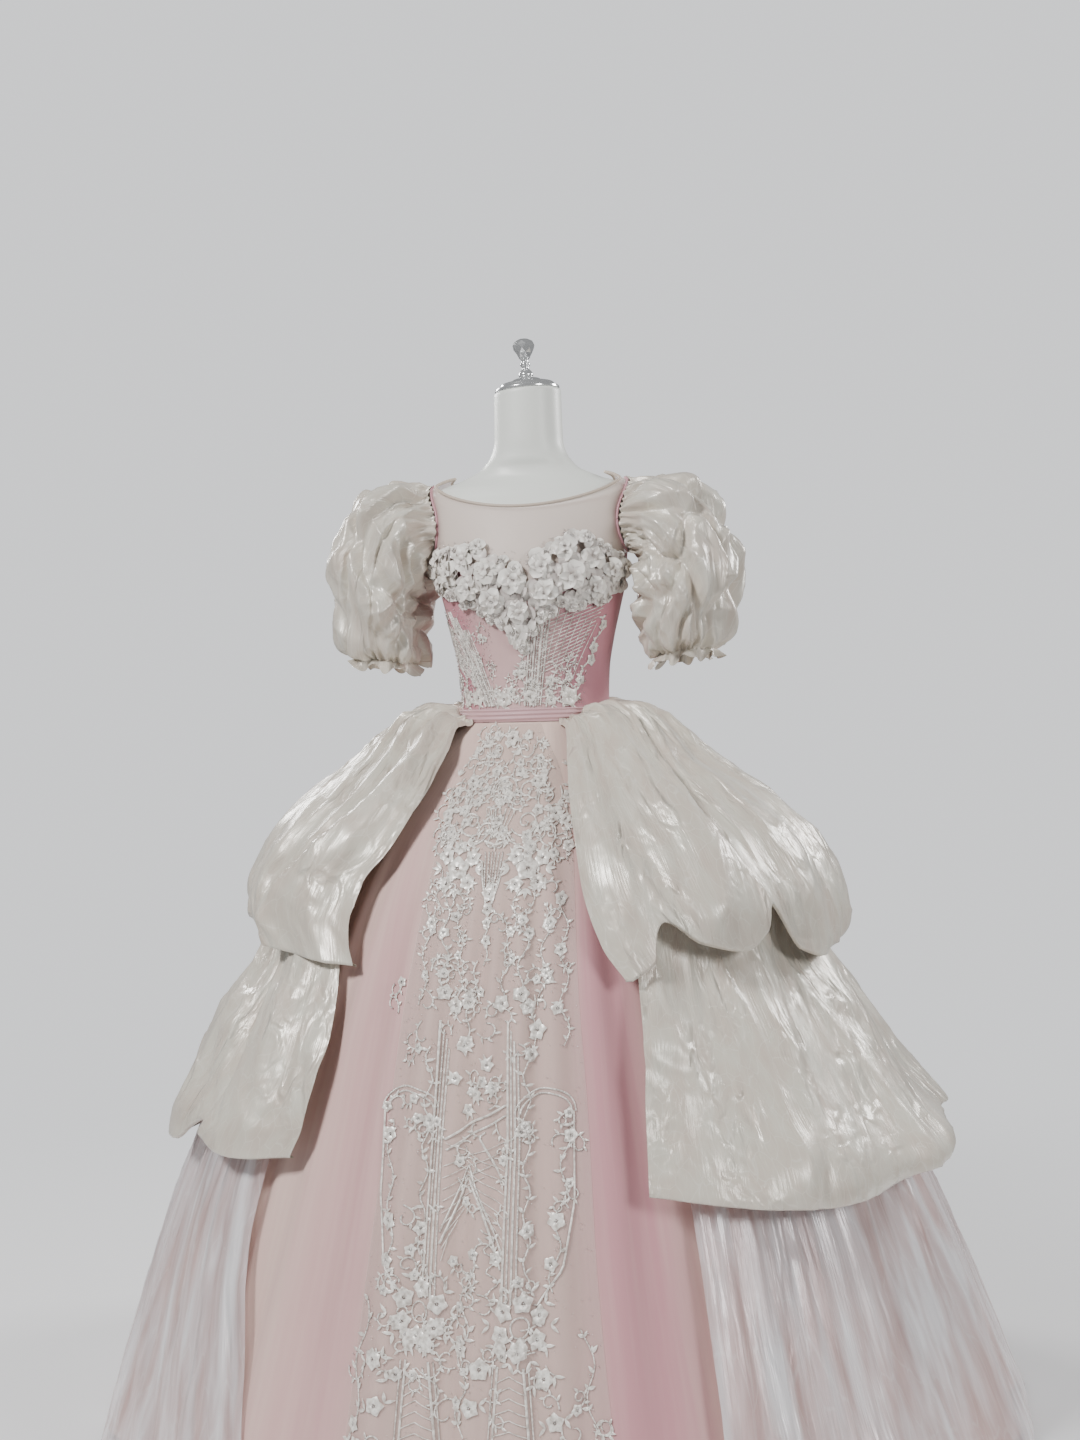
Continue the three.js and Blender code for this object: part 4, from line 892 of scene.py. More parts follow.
# angle, height of the hem
UPPER_HEM = {
    1: np.array([(24, 0.724), (30, 0.745), (35, 0.800), (40, 0.768), (48, 0.752), (54, 0.772), (57, 0.812),
                 (63, 0.740), (70, 0.722), (84, 0.735), (97, 0.785), (104, 0.806), (112, 0.765), (124, 0.742),
                 (136, 0.762), (143, 0.806), (151, 0.765), (164, 0.742), (180, 0.776)]),
    -1: np.array([(24, 0.739), (34, 0.741), (44, 0.748), (51, 0.756), (55, 0.790), (62, 0.792), (70, 0.778),
                  (80, 0.776), (95, 0.784), (106, 0.770), (120, 0.740), (132, 0.768), (140, 0.806),
                  (149, 0.766), (163, 0.742), (180, 0.776)])}
LOWER_HEM = {
    1: np.array([(22, 0.464), (37, 0.440), (49, 0.426), (57, 0.425), (70, 0.436), (80, 0.458), (88, 0.468),
                 (98, 0.460), (112, 0.448), (128, 0.470), (140, 0.432), (158, 0.420), (180, 0.446)]),
    -1: np.array([(22, 0.500), (32, 0.487), (40, 0.480), (49, 0.496), (53, 0.512), (60, 0.470), (72, 0.462),
                  (84, 0.470), (92, 0.474), (104, 0.466), (122, 0.470), (138, 0.436), (158, 0.420),
                  (180, 0.446)])}
FLOOR_HEM = {side: np.array([(20, HEM_Z), (180, HEM_Z)]) for side in (1, -1)}
HEM_TURN = 0.006
BROAD_CELL, SMALL_CELL = 0.088, 0.046       # sizes of the crushed cells
BACK_END = 179.99       # degrees from the front to a tier's edge at the centre back


def tier_surface(shape, side, u, v):
    """A tier at each (u, v): v from 0 to 1 swings out from the seam, from 1 to 2 falls to the hem, and
    past 2 rolls under. u runs round, from the front edge to the centre back or the other way."""
    away = u if side > 0 else 1 - u
    edge, hem = shape["edge"][side], shape["hem"][side]
    start = shape["rise"][-1, 2]
    drop = np.clip(v - 1, 0, 1)
    hem_edge = through(edge, 1, through(hem, 1, np.array(30.0)))
    nominal = hem_edge + (BACK_END - hem_edge) * away
    low = through(hem, 1, nominal)
    z = np.where(v < 1, through(shape["rise"], 2, v), start + (low - start) * drop)
    # Near the front edge the cloth leaves the seam straight down the layer below, with no roll.
    near = 1 - smooth(away, 0.0, shape["settle"])
    top = shape["rise"][0, 2]
    turned_z = min(start, top - 0.017)
    straight = np.where(v < 1, top + (turned_z - top) * v, turned_z + (low - turned_z) * drop)
    z = z + (straight - z) * near
    front = through(edge, 1, np.minimum(z, start))
    angle = front + (BACK_END - front) * away
    swing = shape["fold"] * smooth(v, 0.2, 2)
    wave = np.sin(shape["folds"] * 2 * math.pi * away + 0.9 * np.sin(5 * away) + side)
    wave = wave * (1 - smooth(away, 0.92, 1))
    greatest = np.where(v < 1, through(shape["rise"], 1, v), through(shape["fall"], 1, z))
    hug = shape["sink"] * smooth(v, 0, 1.2) * (1 - smooth(v, 1.3, 1.9)) * (1 - smooth(away, 0, 0.22))
    underneath = through(SKIRT, 1, np.minimum(z, WAIST_Z)) + SKIRT_FOLD + 0.004
    hung = (greatest - swing + swing * wave) * (1 - hug) + np.minimum(greatest, underneath + swing) * hug
    lying = underneath - 0.006 + shape["stand"] * smooth(v, 0.1, 1.5)
    hung = hung + (np.minimum(hung, lying) - hung) * near
    under = np.maximum(0, v - 2) * 4
    turn = shape["turn"]
    roll_in = turn * under + 0.004 * np.sin(np.clip(under, 0, 1) * math.pi)
    z = z + 0.4 * turn * under - 0.003 * np.sin(under * math.pi)
    return station(side * angle * DEGREE, hung - roll_in, z), away


def crisp_pleats(away, v, count, seed):
    """Pleats that leave the gathered seam close together and spread, uneven in width and length."""
    draw = np.random.default_rng(seed)
    shift = np.interp(away, np.linspace(0, 1, count), draw.uniform(-0.5, 0.5, count))
    length = np.interp(away, np.linspace(0, 1, count), draw.uniform(1.1, 2.3, count))
    crest = (1 - np.abs(np.sin(math.pi * (count * away + shift)))) ** 1.3 - 0.4
    return crest * smooth(v, 0, 0.25) * (1 - smooth(v, length * 0.6, length))


tier_organza = crinkled_organza("tier_organza_pearl", (0.73, 0.69, 0.59), (0.66, 0.57, 0.48), 0.030, 0.36,
                                1.7, metal=0.12)
# On the sheer overlay the clouds are drawn out five times as long, so their near-white end is painted highlight
# in long upright streaks, and alpha rises with them.
sheer_organza = crinkled_organza("overlay_organza_sheer", (0.92, 0.90, 0.92), (0.72, 0.53, 0.53), 0.038, 0.46,
                                 5.0, alpha=(0.38, 0.94), metal=0.22)
TIERS = (
    {"name": "upper_tier", "rise": UPPER_RISE, "fall": UPPER_FALL, "edge": UPPER_EDGE, "hem": UPPER_HEM,
     "fold": 0.008, "folds": 7, "sink": 0.3, "settle": 0.16, "stand": 0.030, "turn": HEM_TURN,
     "grid": (260, 130), "pleats": 17, "pleat_rise": 0.009, "crush": 0.0075, "end": 2.25,
     "finish": tier_organza, "slot": "pearl_organza", "seam": "waistband_cloth"},
    {"name": "lower_tier", "rise": LOWER_RISE, "fall": LOWER_FALL, "edge": LOWER_EDGE, "hem": LOWER_HEM,
     "fold": 0.011, "folds": 6, "sink": 0.3, "settle": 0.12, "stand": 0.034, "turn": HEM_TURN,
     "grid": (260, 115), "pleats": 14, "pleat_rise": 0.007, "crush": 0.0075, "end": 2.25,
     "finish": tier_organza, "slot": "pearl_organza", "seam": "skirt_front_cloth"},
    {"name": "sheer_overlay", "rise": OVERLAY_RISE, "fall": OVERLAY_FALL, "edge": OVERLAY_EDGE,
     "hem": FLOOR_HEM, "fold": 0.005, "folds": 6, "sink": 0, "settle": 0.04, "stand": 0.016, "turn": 0,
     "grid": (240, 80), "pleats": 40, "pleat_rise": 0.006, "crush": 0.005, "end": 2,
     "finish": sheer_organza, "slot": "sheer_organza", "seam": "skirt_front_cloth"},
)
# piece and side, angle, height, spread of both, rise: what the gown's own outline adds to the even form
TIER_BULGES = {
    ("upper_tier", 1): ((85, 0.755, 30, 0.060, 0.014), (85, 1.030, 40, 0.070, -0.015)),
    ("upper_tier", -1): ((85, 0.740, 40, 0.050, -0.022), (85, 0.930, 30, 0.050, 0.008)),
    ("lower_tier", 1): ((85, 0.440, 28, 0.040, 0.024), (85, 0.530, 28, 0.050, -0.012)),
    ("lower_tier", -1): ((95, 0.450, 48, 0.070, -0.044), (85, 0.640, 28, 0.060, 0.012)),
    ("sheer_overlay", 1): ((90, 0.25, 40, 0.30, 0.010),),
    ("sheer_overlay", -1): ((90, 0.25, 40, 0.30, 0.010),),
}
# piece and side, then each main fold: share of the way round and v where it starts, the same where it
# ends, rise, and how many degrees its soft side and its sharp side take
TIER_FOLDS = {
    ("upper_tier", 1): ((0.02, 0.6, 0.082, 2.0, 0.012, 6, 1.8), (0.07, 0.5, 0.222, 2.0, 0.014, 9, 2.0),
                        (0.19, 0.5, 0.360, 1.9, 0.010, 8, 2.4), (0.34, 0.6, 0.470, 2.0, 0.012, 8, 2.4)),
    ("upper_tier", -1): ((0.04, 0.6, 0.150, 2.05, 0.018, 10, 1.6), (0.14, 0.6, 0.260, 2.0, 0.009, 6, 2.0),
                         (0.26, 0.6, 0.420, 2.0, 0.012, 8, 2.4)),
    ("lower_tier", 1): ((0.11, 1.0, 0.140, 2.0, 0.010, 7, 2.0), (0.22, 0.9, 0.290, 2.0, 0.015, 9, 2.0),
                        (0.32, 0.9, 0.400, 2.0, 0.010, 7, 2.4)),
    ("lower_tier", -1): ((0.14, 0.9, 0.130, 2.05, 0.018, 10, 1.6), (0.23, 0.9, 0.230, 2.0, 0.011, 6, 2.0),
                         (0.34, 0.9, 0.380, 2.0, 0.012, 8, 2.4)),
}
TIER_SWEEP = 155        # degrees that a tier takes up, about
BACK_FOLDS = ((0.58, 0.7, 0.62, 2.0, 0.012, 8, 2.2), (0.76, 0.7, 0.80, 2.0, 0.013, 9, 2.2))


def laid_folds(away, v, folds):
    """How far the main folds stand out: each runs from one place to another, swells slowly on its front
    side and drops away sharply behind, as exp(-degrees / reach) on either side."""
    total = np.zeros(away.shape)
    for start, start_v, end, end_v, rise, soft, sharp in folds:
        along = np.clip((v - start_v) / (end_v - start_v), 0, 1)
        line = start + (end - start) * along + 0.008 * np.sin(7 * along + 40 * start)
        past = (away - line) * TIER_SWEEP
        profile = np.where(past < 0, np.exp(np.minimum(past, 0) / soft), np.exp(-np.maximum(past, 0) / sharp))
        total += rise * profile * smooth(v, start_v - 0.3, start_v + 0.5)
    return total


for shape in TIERS:
    for side_name, side in (("left", 1), ("right", -1)):
        columns, rows = shape["grid"]
        u_grid, v_grid = np.meshgrid(np.linspace(0, 1, columns), np.linspace(0, shape["end"], rows))
        tier_points, away = tier_surface(shape, side, u_grid, v_grid)
        level = tier_points * [1, 1, 0]
        level /= np.linalg.norm(level, axis=-1, keepdims=True)
        hem_share = smooth(v_grid, 1.6, 2.0)[..., None]
        out = normals_of(tier_points) * (1 - hem_share) + level * hem_share
        lift = shape["pleat_rise"] * crisp_pleats(away, v_grid, shape["pleats"], 31 + side)
        turned_by = 3.0 * away + 0.10 * np.sin(3 * v_grid + 9 * away)
        wrap = np.stack([0.42 * np.cos(turned_by), 0.42 * np.sin(turned_by), 0.30 * v_grid], -1)
        broad_place = warped(wrap, 0.15, 0.030, 33 + side) * [1, 1, 0.34]
        small_place = warped(tier_points, 0.08, 0.012, 43 + side) * [1, 1, 0.5]
        broad_tilt, broad_inside = crushed(broad_place, BROAD_CELL, 41 + side, 5.5)
        small_tilt, small_inside = crushed(small_place, SMALL_CELL, 51 + side, 6.5)
        calm = smooth(broad_tilt, -0.4, 0.4)
        crush = 1.40 * broad_tilt + 0.34 * (np.exp(-broad_inside / 0.07) - 0.2)
        crush += (0.62 * small_tilt + 0.16 * np.exp(-small_inside / 0.10)) * (0.3 + 0.7 * calm)
        lift += shape["crush"] * crush * smooth(v_grid, 0.2, 1.1)
        if (shape["name"], side) in TIER_FOLDS:
            lift += laid_folds(away, v_grid, TIER_FOLDS[(shape["name"], side)] + BACK_FOLDS)
        lift *= 1 - smooth(away, 0.95, 1.0)
        angle = np.degrees(np.abs(np.arctan2(tier_points[..., 0], -tier_points[..., 1])))
        for degrees, height, wide, tall, rise in TIER_BULGES[(shape["name"], side)]:
            above = (tier_points[..., 2] - height) / tall
            lift += rise * np.exp(-(((angle - degrees) / wide) ** 2) - above**2)
        tier_points = tier_points + out * lift[..., None]
        tier_piece = new_surface(f"{shape['name']}_{side_name}_cloth", tier_points, shape["finish"],
                                 shape["slot"], uv=uv_of(tier_points))
        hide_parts(f"{shape['name']}_{side_name}")

# Skirt lace
# A long panel of fine net down the front, embroidered with silver and ivory cord: scrolls and flowers
# at the waist, hanging vines, beaded columns that frame a lattice, rosettes, and ladders to the hem.

LACE_LIFT = 0.0016
# height, angle of the lace's middle (degrees), reach to the wearer's right and left (metres)
LACE_PANEL = np.array([
    (0.010, 0.0, 0.190, 0.200), (0.350, -1.0, 0.150, 0.165), (0.560, -1.5, 0.125, 0.150),
    (0.700, -1.8, 0.110, 0.135), (0.900, -1.5, 0.088, 0.110), (1.000, -2.5, 0.080, 0.085),
    (1.068, -8.0, 0.052, 0.050)])


def on_skirt(flat):
    """The skirt's surface at flat[..., 0] metres beside the middle of the lace and height flat[..., 1]."""
    aside, z = flat[..., 0], flat[..., 1]
    angle = through(LACE_PANEL, 1, z) * DEGREE + aside / through(SKIRT, 1, z)
    return station(angle, skirt_radius(angle, z), z)


def lifted(place, flat, lift):
    """The surface at the flat places, moved out along its own normal by lift."""
    step = 2e-4
    right = place(flat + [step, 0]) - place(flat - [step, 0])
    up = place(flat + [0, step]) - place(flat - [0, step])
    return place(flat) + unit(np.cross(right, up)) * np.asarray(lift)[..., None]


def towards(turn):
    """The flat direction at an angle anticlockwise from the right."""
    return np.stack([np.cos(turn), np.sin(turn)], -1)


def evenly(count, first=0.0):
    """Angles that share out a full turn."""
    return first + np.arange(count) * 2 * math.pi / count


def grid_faces(count, rows, columns):
    """Triangles of `count` separate grids of rows by columns points, seen from outside."""
    j, i = np.mgrid[0:rows - 1, 0:columns - 1]
    corner = (j * columns + i).ravel()
    quads = np.stack([corner, corner + 1, corner + columns + 1, corner + columns], -1)
    halves = np.concatenate([quads[:, [0, 1, 2]], quads[:, [0, 2, 3]]])
    return (halves[None] + np.arange(count)[:, None, None] * rows * columns).reshape(-1, 3)


def joined(parts):
    """Several (points, triangles) pairs as one."""
    starts = np.cumsum([0] + [len(points) for points, _ in parts])
    return (np.concatenate([points for points, _ in parts]),
            np.concatenate([faces + first for (_, faces), first in zip(parts, starts)]))


CORD_POINTS = 26


def even_points(line, count=CORD_POINTS):
    """A polyline resampled to evenly spaced points."""
    line = np.asarray(line, float)
    far = np.concatenate([[0], np.cumsum(np.linalg.norm(np.diff(line, axis=0), axis=1))])
    at = np.linspace(0, far[-1], count)
    return np.stack([np.interp(at, far, line[:, 0]), np.interp(at, far, line[:, 1])], -1)


class Embroidery:
    """What is stitched to a panel, in the panel's flat coordinates: cords, satin-stitched petals and
    beads, each kept as arrays until they are laid on the cloth."""

    def __init__(self, place, lift, seed):
        self.place, self.lift = place, lift
        self.draw = np.random.default_rng(seed)
        self.lines, self.widths, self.leaves, self.dots = [], [], [], []

    def cord(self, line, width=0.0022, beads=0.0):
        """A cord along the line, with beads every `beads` metres where that isn't 0."""
        line = np.asarray(line, float)
        self.lines.append(even_points(line))
        self.widths.append(width)
        if beads:
            length = np.linalg.norm(np.diff(line, axis=0), axis=1).sum()
            self.beads(even_points(line, max(2, int(length / beads))), 0.0011)

    def beads(self, places, radius):
        """A bead at each of the places."""
        places = np.asarray(places, float).reshape(-1, 2)
        self.dots.append(np.concatenate([places, np.full((len(places), 1), radius)], 1))

    def petals(self, middle, turns, length, width, rise=0.0016, start=0.0):
        """Petals that leave the middle in the given directions."""
        turns = np.atleast_1d(turns)
        middle = np.asarray(middle, float) + start * towards(turns)
        size = np.stack([turns, length + 0 * turns, width + 0 * turns, rise + 0 * turns], -1)
        self.leaves.append(np.concatenate([middle, size], 1))

    def flower(self, middle, radius, count=5, hearts=6):
        """A flower of rounded petals about a beaded heart."""
        first = self.draw.uniform(0, 2 * math.pi)
        self.petals(middle, evenly(count, first), radius * 0.86, radius * 0.92, radius * 0.16, radius * 0.14)
        self.beads(np.asarray(middle) + radius * 0.2 * towards(evenly(hearts, first)), 0.0012)
        self.beads([middle], 0.0016)

    def sprig(self, middle, turn, size=0.010, count=3):
        """Narrow leaves that fan from one place."""
        self.petals(middle, turn + np.linspace(-0.75, 0.75, count), size, size * 0.34, 0.0012)

    def scroll(self, middle, radius, first, turns, hand=1, width=0.0024, beads=0.006):
        """A spiral that starts at the radius and winds in to a tenth of it."""
        t = np.linspace(0, 1, 40)
        turn = first + hand * turns * 2 * math.pi * t
        reach = radius * (1 - 0.88 * t**0.8)
        self.cord(np.asarray(middle) + reach[:, None] * towards(turn), width, beads)
        self.beads([middle], 0.0018)

    def tendril(self, start, turn, length, curl, width=0.0020, leaf=0.008):
        """A curl whose bend tightens towards its end, with leaves along its outer side."""
        t = np.linspace(0, 1, CORD_POINTS)
        heading = turn + curl * 2 * math.pi * t**1.7
        path = np.asarray(start) + np.cumsum(length / CORD_POINTS * towards(heading), 0)
        self.cord(path, width, beads=0.0042)
        outer = -math.copysign(1.0, curl)
        for share in (5, 10, 15):
            self.petals(path[share], heading[share] + outer * 0.9, leaf * self.draw.uniform(0.8, 1.2),
                        leaf * 0.42, 0.0013)
        self.beads(path[-1:], 0.0016)

    def thicket(self, count, inside, length=0.045, width=0.0020, leaf=0.008):
        """Tendrils from places drawn inside an area, each with a floret now and then."""
        for _ in range(count):
            spot = np.array(inside(self.draw.uniform(), self.draw.uniform()))
            self.tendril(spot, self.draw.uniform(0, 2 * math.pi), length * self.draw.uniform(0.7, 1.3),
                         self.draw.choice([-1, 1]) * self.draw.uniform(0.5, 1.1), width, leaf)
            if self.draw.uniform() < 0.35:
                self.flower(spot, leaf * 0.95)

    def vine(self, top, bottom, sway=0.006, waves=2.5, leaf=0.009, every=0.011, flowers=()):
        """A winding stem with pairs of leaves, and flowers at the given shares of its length."""
        top, bottom = np.asarray(top, float), np.asarray(bottom, float)
        t = np.linspace(0, 1, 60)
        phase = self.draw.uniform(0, 2 * math.pi)
        stem = top + (bottom - top) * t[:, None]
        stem[:, 0] += sway * np.sin(2 * math.pi * waves * t + phase)
        self.cord(stem, 0.0018, beads=0.005)
        count = max(2, int(np.linalg.norm(bottom - top) / every))
        for k in range(count):
            at = stem[int((k + 0.5) / count * 59)]
            side = 1 if k % 2 else -1
            turn = (0.15 * math.pi if side > 0 else 0.85 * math.pi) + self.draw.uniform(-0.5, 0.5)
            self.petals(at, turn, leaf * self.draw.uniform(0.75, 1.2), leaf * 0.42, 0.0013)
            if self.draw.uniform() < 0.6:
                self.petals(at, math.pi - turn - 0.6 * side, leaf * 0.7, leaf * 0.34, 0.0012)
            if self.draw.uniform() < 0.5:
                self.beads(at + self.draw.uniform(-0.008, 0.008, (3, 2)), 0.0011)
        for share, radius in flowers:
            self.flower(stem[int(share * 59)] + self.draw.uniform(-0.003, 0.003, 2), radius)

    def cords_mesh(self):
        """Each cord is a flat-bottomed arch of four points across, lying on the cloth."""
        lines = np.array(self.lines)
        ahead = np.gradient(lines, axis=1)
        ahead /= np.maximum(np.linalg.norm(ahead, axis=-1, keepdims=True), 1e-9)
        beside = np.stack([ahead[..., 1], -ahead[..., 0]], -1)
        half = np.array(self.widths)[:, None, None] / 2
        turn = np.radians([0, 55, 125, 180])
        flat = lines[:, :, None] + (beside[:, :, None] * (half * np.cos(turn))[..., None])
        height = self.lift + (half * np.sin(turn)) * 1.3 + np.zeros(flat.shape[:-1])
        points = lifted(self.place, flat, height)
        return points.reshape(-1, 3), grid_faces(len(lines), CORD_POINTS, 4)[:, ::-1]

    def petals_mesh(self):
        """Each petal is a pointed oval, raised along its middle."""
        leaves = np.concatenate(self.leaves)
        along = np.linspace(0, 1, 5)[None, :, None]
        across = np.array([-1, 0, 1.0])[None, None, :]
        turn, length, width, rise = (leaves[:, k][:, None, None] for k in (2, 3, 4, 5))
        wide = width / 2 * np.sin(math.pi * np.clip(along, 0.04, 0.97) ** 0.8) * across
        x = leaves[:, 0][:, None, None] + length * along * np.cos(turn) - wide * np.sin(turn)
        z = leaves[:, 1][:, None, None] + length * along * np.sin(turn) + wide * np.cos(turn)
        height = self.lift + 0.0004 + rise * np.sin(math.pi * (0.12 + 0.76 * along)) * (1 - 0.55 * across**2)
        points = lifted(self.place, np.stack([x, z], -1), height)
        return points.reshape(-1, 3), grid_faces(len(leaves), 5, 3)[:, ::-1]

    def beads_mesh(self):
        """Each bead is an eight-sided ball that stands on the cloth."""
        dots = np.concatenate(self.dots)
        middle = lifted(self.place, dots[:, :2], self.lift + dots[:, 2] * 0.8)
        return ball_points(middle, dots[:, 2])

    def piece(self, name, finish, slot_name, parts):
        """One mesh of the chosen parts."""
        return new_piece(name, *joined(parts), finish, slot_name)


OCTAHEDRON = np.array([(1, 0, 0), (0, 1, 0), (-1, 0, 0), (0, -1, 0), (0, 0, 1), (0, 0, -1)], float)
OCTAHEDRON_FACES = np.array([(0, 1, 4), (1, 2, 4), (2, 3, 4), (3, 0, 4), (1, 0, 5), (2, 1, 5), (3, 2, 5),
                             (0, 3, 5)])


def ball_points(middle, radius):
    """An octahedron about each middle."""
    points = middle[:, None] + OCTAHEDRON[None] * np.asarray(radius)[:, None, None]
    faces = OCTAHEDRON_FACES[None] + np.arange(len(middle))[:, None, None] * 6
    return points.reshape(-1, 3), faces.reshape(-1, 3)


def silver_cord_finish(name, colour, metal):
    """Rayon and silver thread: glossy, with a fine change of tone from stitch to stitch."""
    finish = plain_finish(name, colour, 0.34, Metallic=metal, Coat_Weight=0.3, Coat_Roughness=0.2)
    place = add_node(finish, "ShaderNodeTexCoord")
    tone = add_node(finish, "ShaderNodeTexNoise", Scale=160.0, Detail=2.0)
    link(finish, place, "Object", tone, "Vector")
    dark = [part * share for part, share in zip(colour, (0.62, 0.58, 0.56))]
    pale = [min(1, part * 1.15) for part in colour]
    link_shader(finish, ramp_on(finish, tone, "Fac", dark, pale, 0.30, 0.62), "Color", "Base Color")
    return finish


cord_silver = silver_cord_finish("silver_cord", (0.88, 0.84, 0.78), 0.08)
bead_silver = silver_cord_finish("silver_beads", (0.74, 0.72, 0.70), 0.85)
lace_net = sheer_mesh("lace_net", (0.70, 0.58, 0.53), 0.34, 700.0)

skirt_lace = Embroidery(on_skirt, LACE_LIFT, 5)
UP = math.pi / 2


def both_ways(half, top, tall):
    """Places drawn in an area: half to either side of the middle, and tall downwards from top."""
    return lambda a, b: ((2 * a - 1) * half, top - tall * b)


# The dense zone below the waist: a crown of flowers, scrolls on both sides of an oval, and a fan.
skirt_lace.flower((0.0, 1.046), 0.013, 6, 8)
for side in (-1, 1):
    for x, z, radius, first, turns, hand in (
            (0.026, 1.030, 0.016, UP - side * 1.2, 1.3, -side),
            (0.052, 1.004, 0.019, UP + side * 0.3, 1.5, side),
            (0.036, 0.972, 0.018, -UP + side * 0.8, 1.4, side),
            (0.068, 0.962, 0.024, UP - side * 0.9, 1.6, -side),
            (0.040, 0.930, 0.022, UP + side * 2.0, 1.4, side),
            (0.076, 0.915, 0.018, -UP, 1.3, -side)):
        skirt_lace.scroll((side * x, z), radius, first, turns, hand)
    skirt_lace.cord([(side * 0.006, 0.925), (side * 0.020, 0.905), (side * 0.046, 0.893)], 0.0026, 0.004)
    skirt_lace.cord([(side * 0.008, 0.948), (side * 0.004, 0.920), (side * 0.014, 0.900)], 0.0022, 0.005)
    for x, z, size in ((0.030, 1.050, 0.009), (0.056, 0.985, 0.011), (0.082, 0.940, 0.011),
                       (0.020, 0.998, 0.009), (0.055, 0.945, 0.009)):
        skirt_lace.flower((side * x, z), size)
    for k in range(11):
        spot = np.array([side * skirt_lace.draw.uniform(0.008, 0.088), skirt_lace.draw.uniform(0.895, 1.045)])
        reach = 0.085 - max(0, spot[1] - 1.0) * 0.6
        spot[0] = np.clip(spot[0], -reach, reach)
        skirt_lace.sprig(spot, skirt_lace.draw.uniform(0, 2 * math.pi), 0.011, 4)
skirt_lace.thicket(78, lambda a, b: ((2 * a - 1) * (0.046 + 0.050 * min(1, 1.6 * b)), 1.050 - 0.170 * b))
for count, half, top, tall, length in ((26, 0.095, 0.872, 0.100, 0.038), (30, 0.120, 0.760, 0.130, 0.040),
                                       (34, 0.130, 0.600, 0.230, 0.042), (26, 0.120, 0.365, 0.100, 0.045),
                                       (40, 0.160, 0.270, 0.240, 0.050)):
    skirt_lace.thicket(count, both_ways(half, top, tall), length)
oval = np.linspace(0, 2 * math.pi, 40)
for wide, tall in ((0.019, 0.016), (0.011, 0.010)):
    skirt_lace.cord((0, 0.975) + towards(oval) * (wide, tall), 0.0024, 0.004)
skirt_lace.flower((0.0, 0.975), 0.008)
for k in range(7):
    skirt_lace.cord([((k - 3) * 0.0075, 0.948), ((k - 3) * 0.0022, 0.908)], 0.0014)
skirt_lace.cord([(-0.016, 0.905), (0.0, 0.899), (0.016, 0.905)], 0.0034, 0.003)
for k in range(4):
    skirt_lace.vine((0.095, 1.012 - 0.03 * k), (0.108, 0.985 - 0.036 * k), 0.003, 0.5,
                    flowers=((0.5, 0.009),))

# Two clusters with a beaded pendant between them, and the vines that hang from both.
for side in (-1, 1):
    heart = np.array([side * 0.050, 0.868])
    cluster = ((0, 0, 0.017), (0.020, 0.014, 0.012), (-0.018, 0.016, 0.012), (0.016, -0.018, 0.012),
               (-0.014, -0.020, 0.011), (0.0, 0.028, 0.010))
    for k, (across, up, size) in enumerate(cluster):
        skirt_lace.flower(heart + [across, up], size, 5 + k % 2)
    for turn in evenly(8):
        skirt_lace.sprig(heart + 0.026 * towards(turn), turn, 0.014, 3)
    skirt_lace.cord([(side * 0.033, 0.885), (side * 0.016, 0.878), (side * 0.012, 0.850),
                     (side * 0.005, 0.822)], 0.0026, 0.004)
    for top, low, sway, waves, flowers in (
            ((0.060, 0.846), (0.052, 0.702), 0.005, 2.5, ((0.45, 0.008), (0.97, 0.011))),
            ((0.042, 0.842), (0.028, 0.690), 0.005, 3.0, ((0.6, 0.007), (0.99, 0.012))),
            ((0.086, 0.822), (0.084, 0.690), 0.006, 2.0, ((0.2, 0.009), (0.7, 0.008)))):
        skirt_lace.vine((side * top[0], top[1]), (side * low[0], low[1]), sway, waves, flowers=flowers)
for k in range(6):
    skirt_lace.cord([((k - 2.5) * 0.0052, 0.890), ((k - 2.5) * 0.0036, 0.842)], 0.0016, 0.0035)
for height, size in ((0.835, 0.012), (0.815, 0.010), (0.797, 0.008)):
    skirt_lace.flower((0.0, height), size)
for top, low, sway, waves, flowers in (
        ((0.0, 0.795), (0.004, 0.742), 0.003, 1.5, ((0.4, 0.009),)),
        ((-0.008, 0.748), (-0.020, 0.640), 0.004, 2, ((0.5, 0.009), (0.99, 0.011))),
        ((0.105, 0.836), (0.118, 0.640), 0.007, 3, ((0.05, 0.010), (0.4, 0.010), (0.75, 0.009))),
        ((0.066, 0.705), (0.078, 0.630), 0.004, 1, ((0.2, 0.011), (0.6, 0.014), (0.98, 0.010)))):
    skirt_lace.vine(top, low, sway, waves, flowers=flowers)

# Beaded columns with arches and a lattice between them.
for side in (-1, 1):
    for k, width in enumerate((0.0030, 0.0020, 0.0026, 0.0020)):
        offset = (k - 1.5) * 0.0050
        foot = side * (0.058 if side < 0 else 0.050) + offset * 1.2
        skirt_lace.cord([(side * 0.048 + offset, 0.672 - 0.012 * k), (side * 0.053 + offset, 0.520),
                         (foot, 0.335)], width, 0.0036)
    skirt_lace.vine((side * 0.066, 0.640), (side * 0.072, 0.360), 0.005, 5, 0.010, 0.014,
                    flowers=((0.35, 0.009), (0.8, 0.010)))
    arch = np.linspace(0, math.pi, 30)
    for gap in (0.0, 0.006):
        skirt_lace.cord((side * 0.094, 0.558) + towards(arch) * (-side * (0.034 + gap), 0.024 + gap),
                        0.0022, 0.004)
    skirt_lace.cord([(side * 0.131, 0.558), (side * 0.133, 0.450), (side * 0.118, 0.372),
                     (side * 0.085, 0.330)], 0.0028, 0.0034)
    skirt_lace.vine((side * 0.124, 0.545), (side * 0.105, 0.345), 0.006, 3, 0.010, 0.013,
                    flowers=((0.1, 0.011), (0.6, 0.012), (0.85, 0.010)))
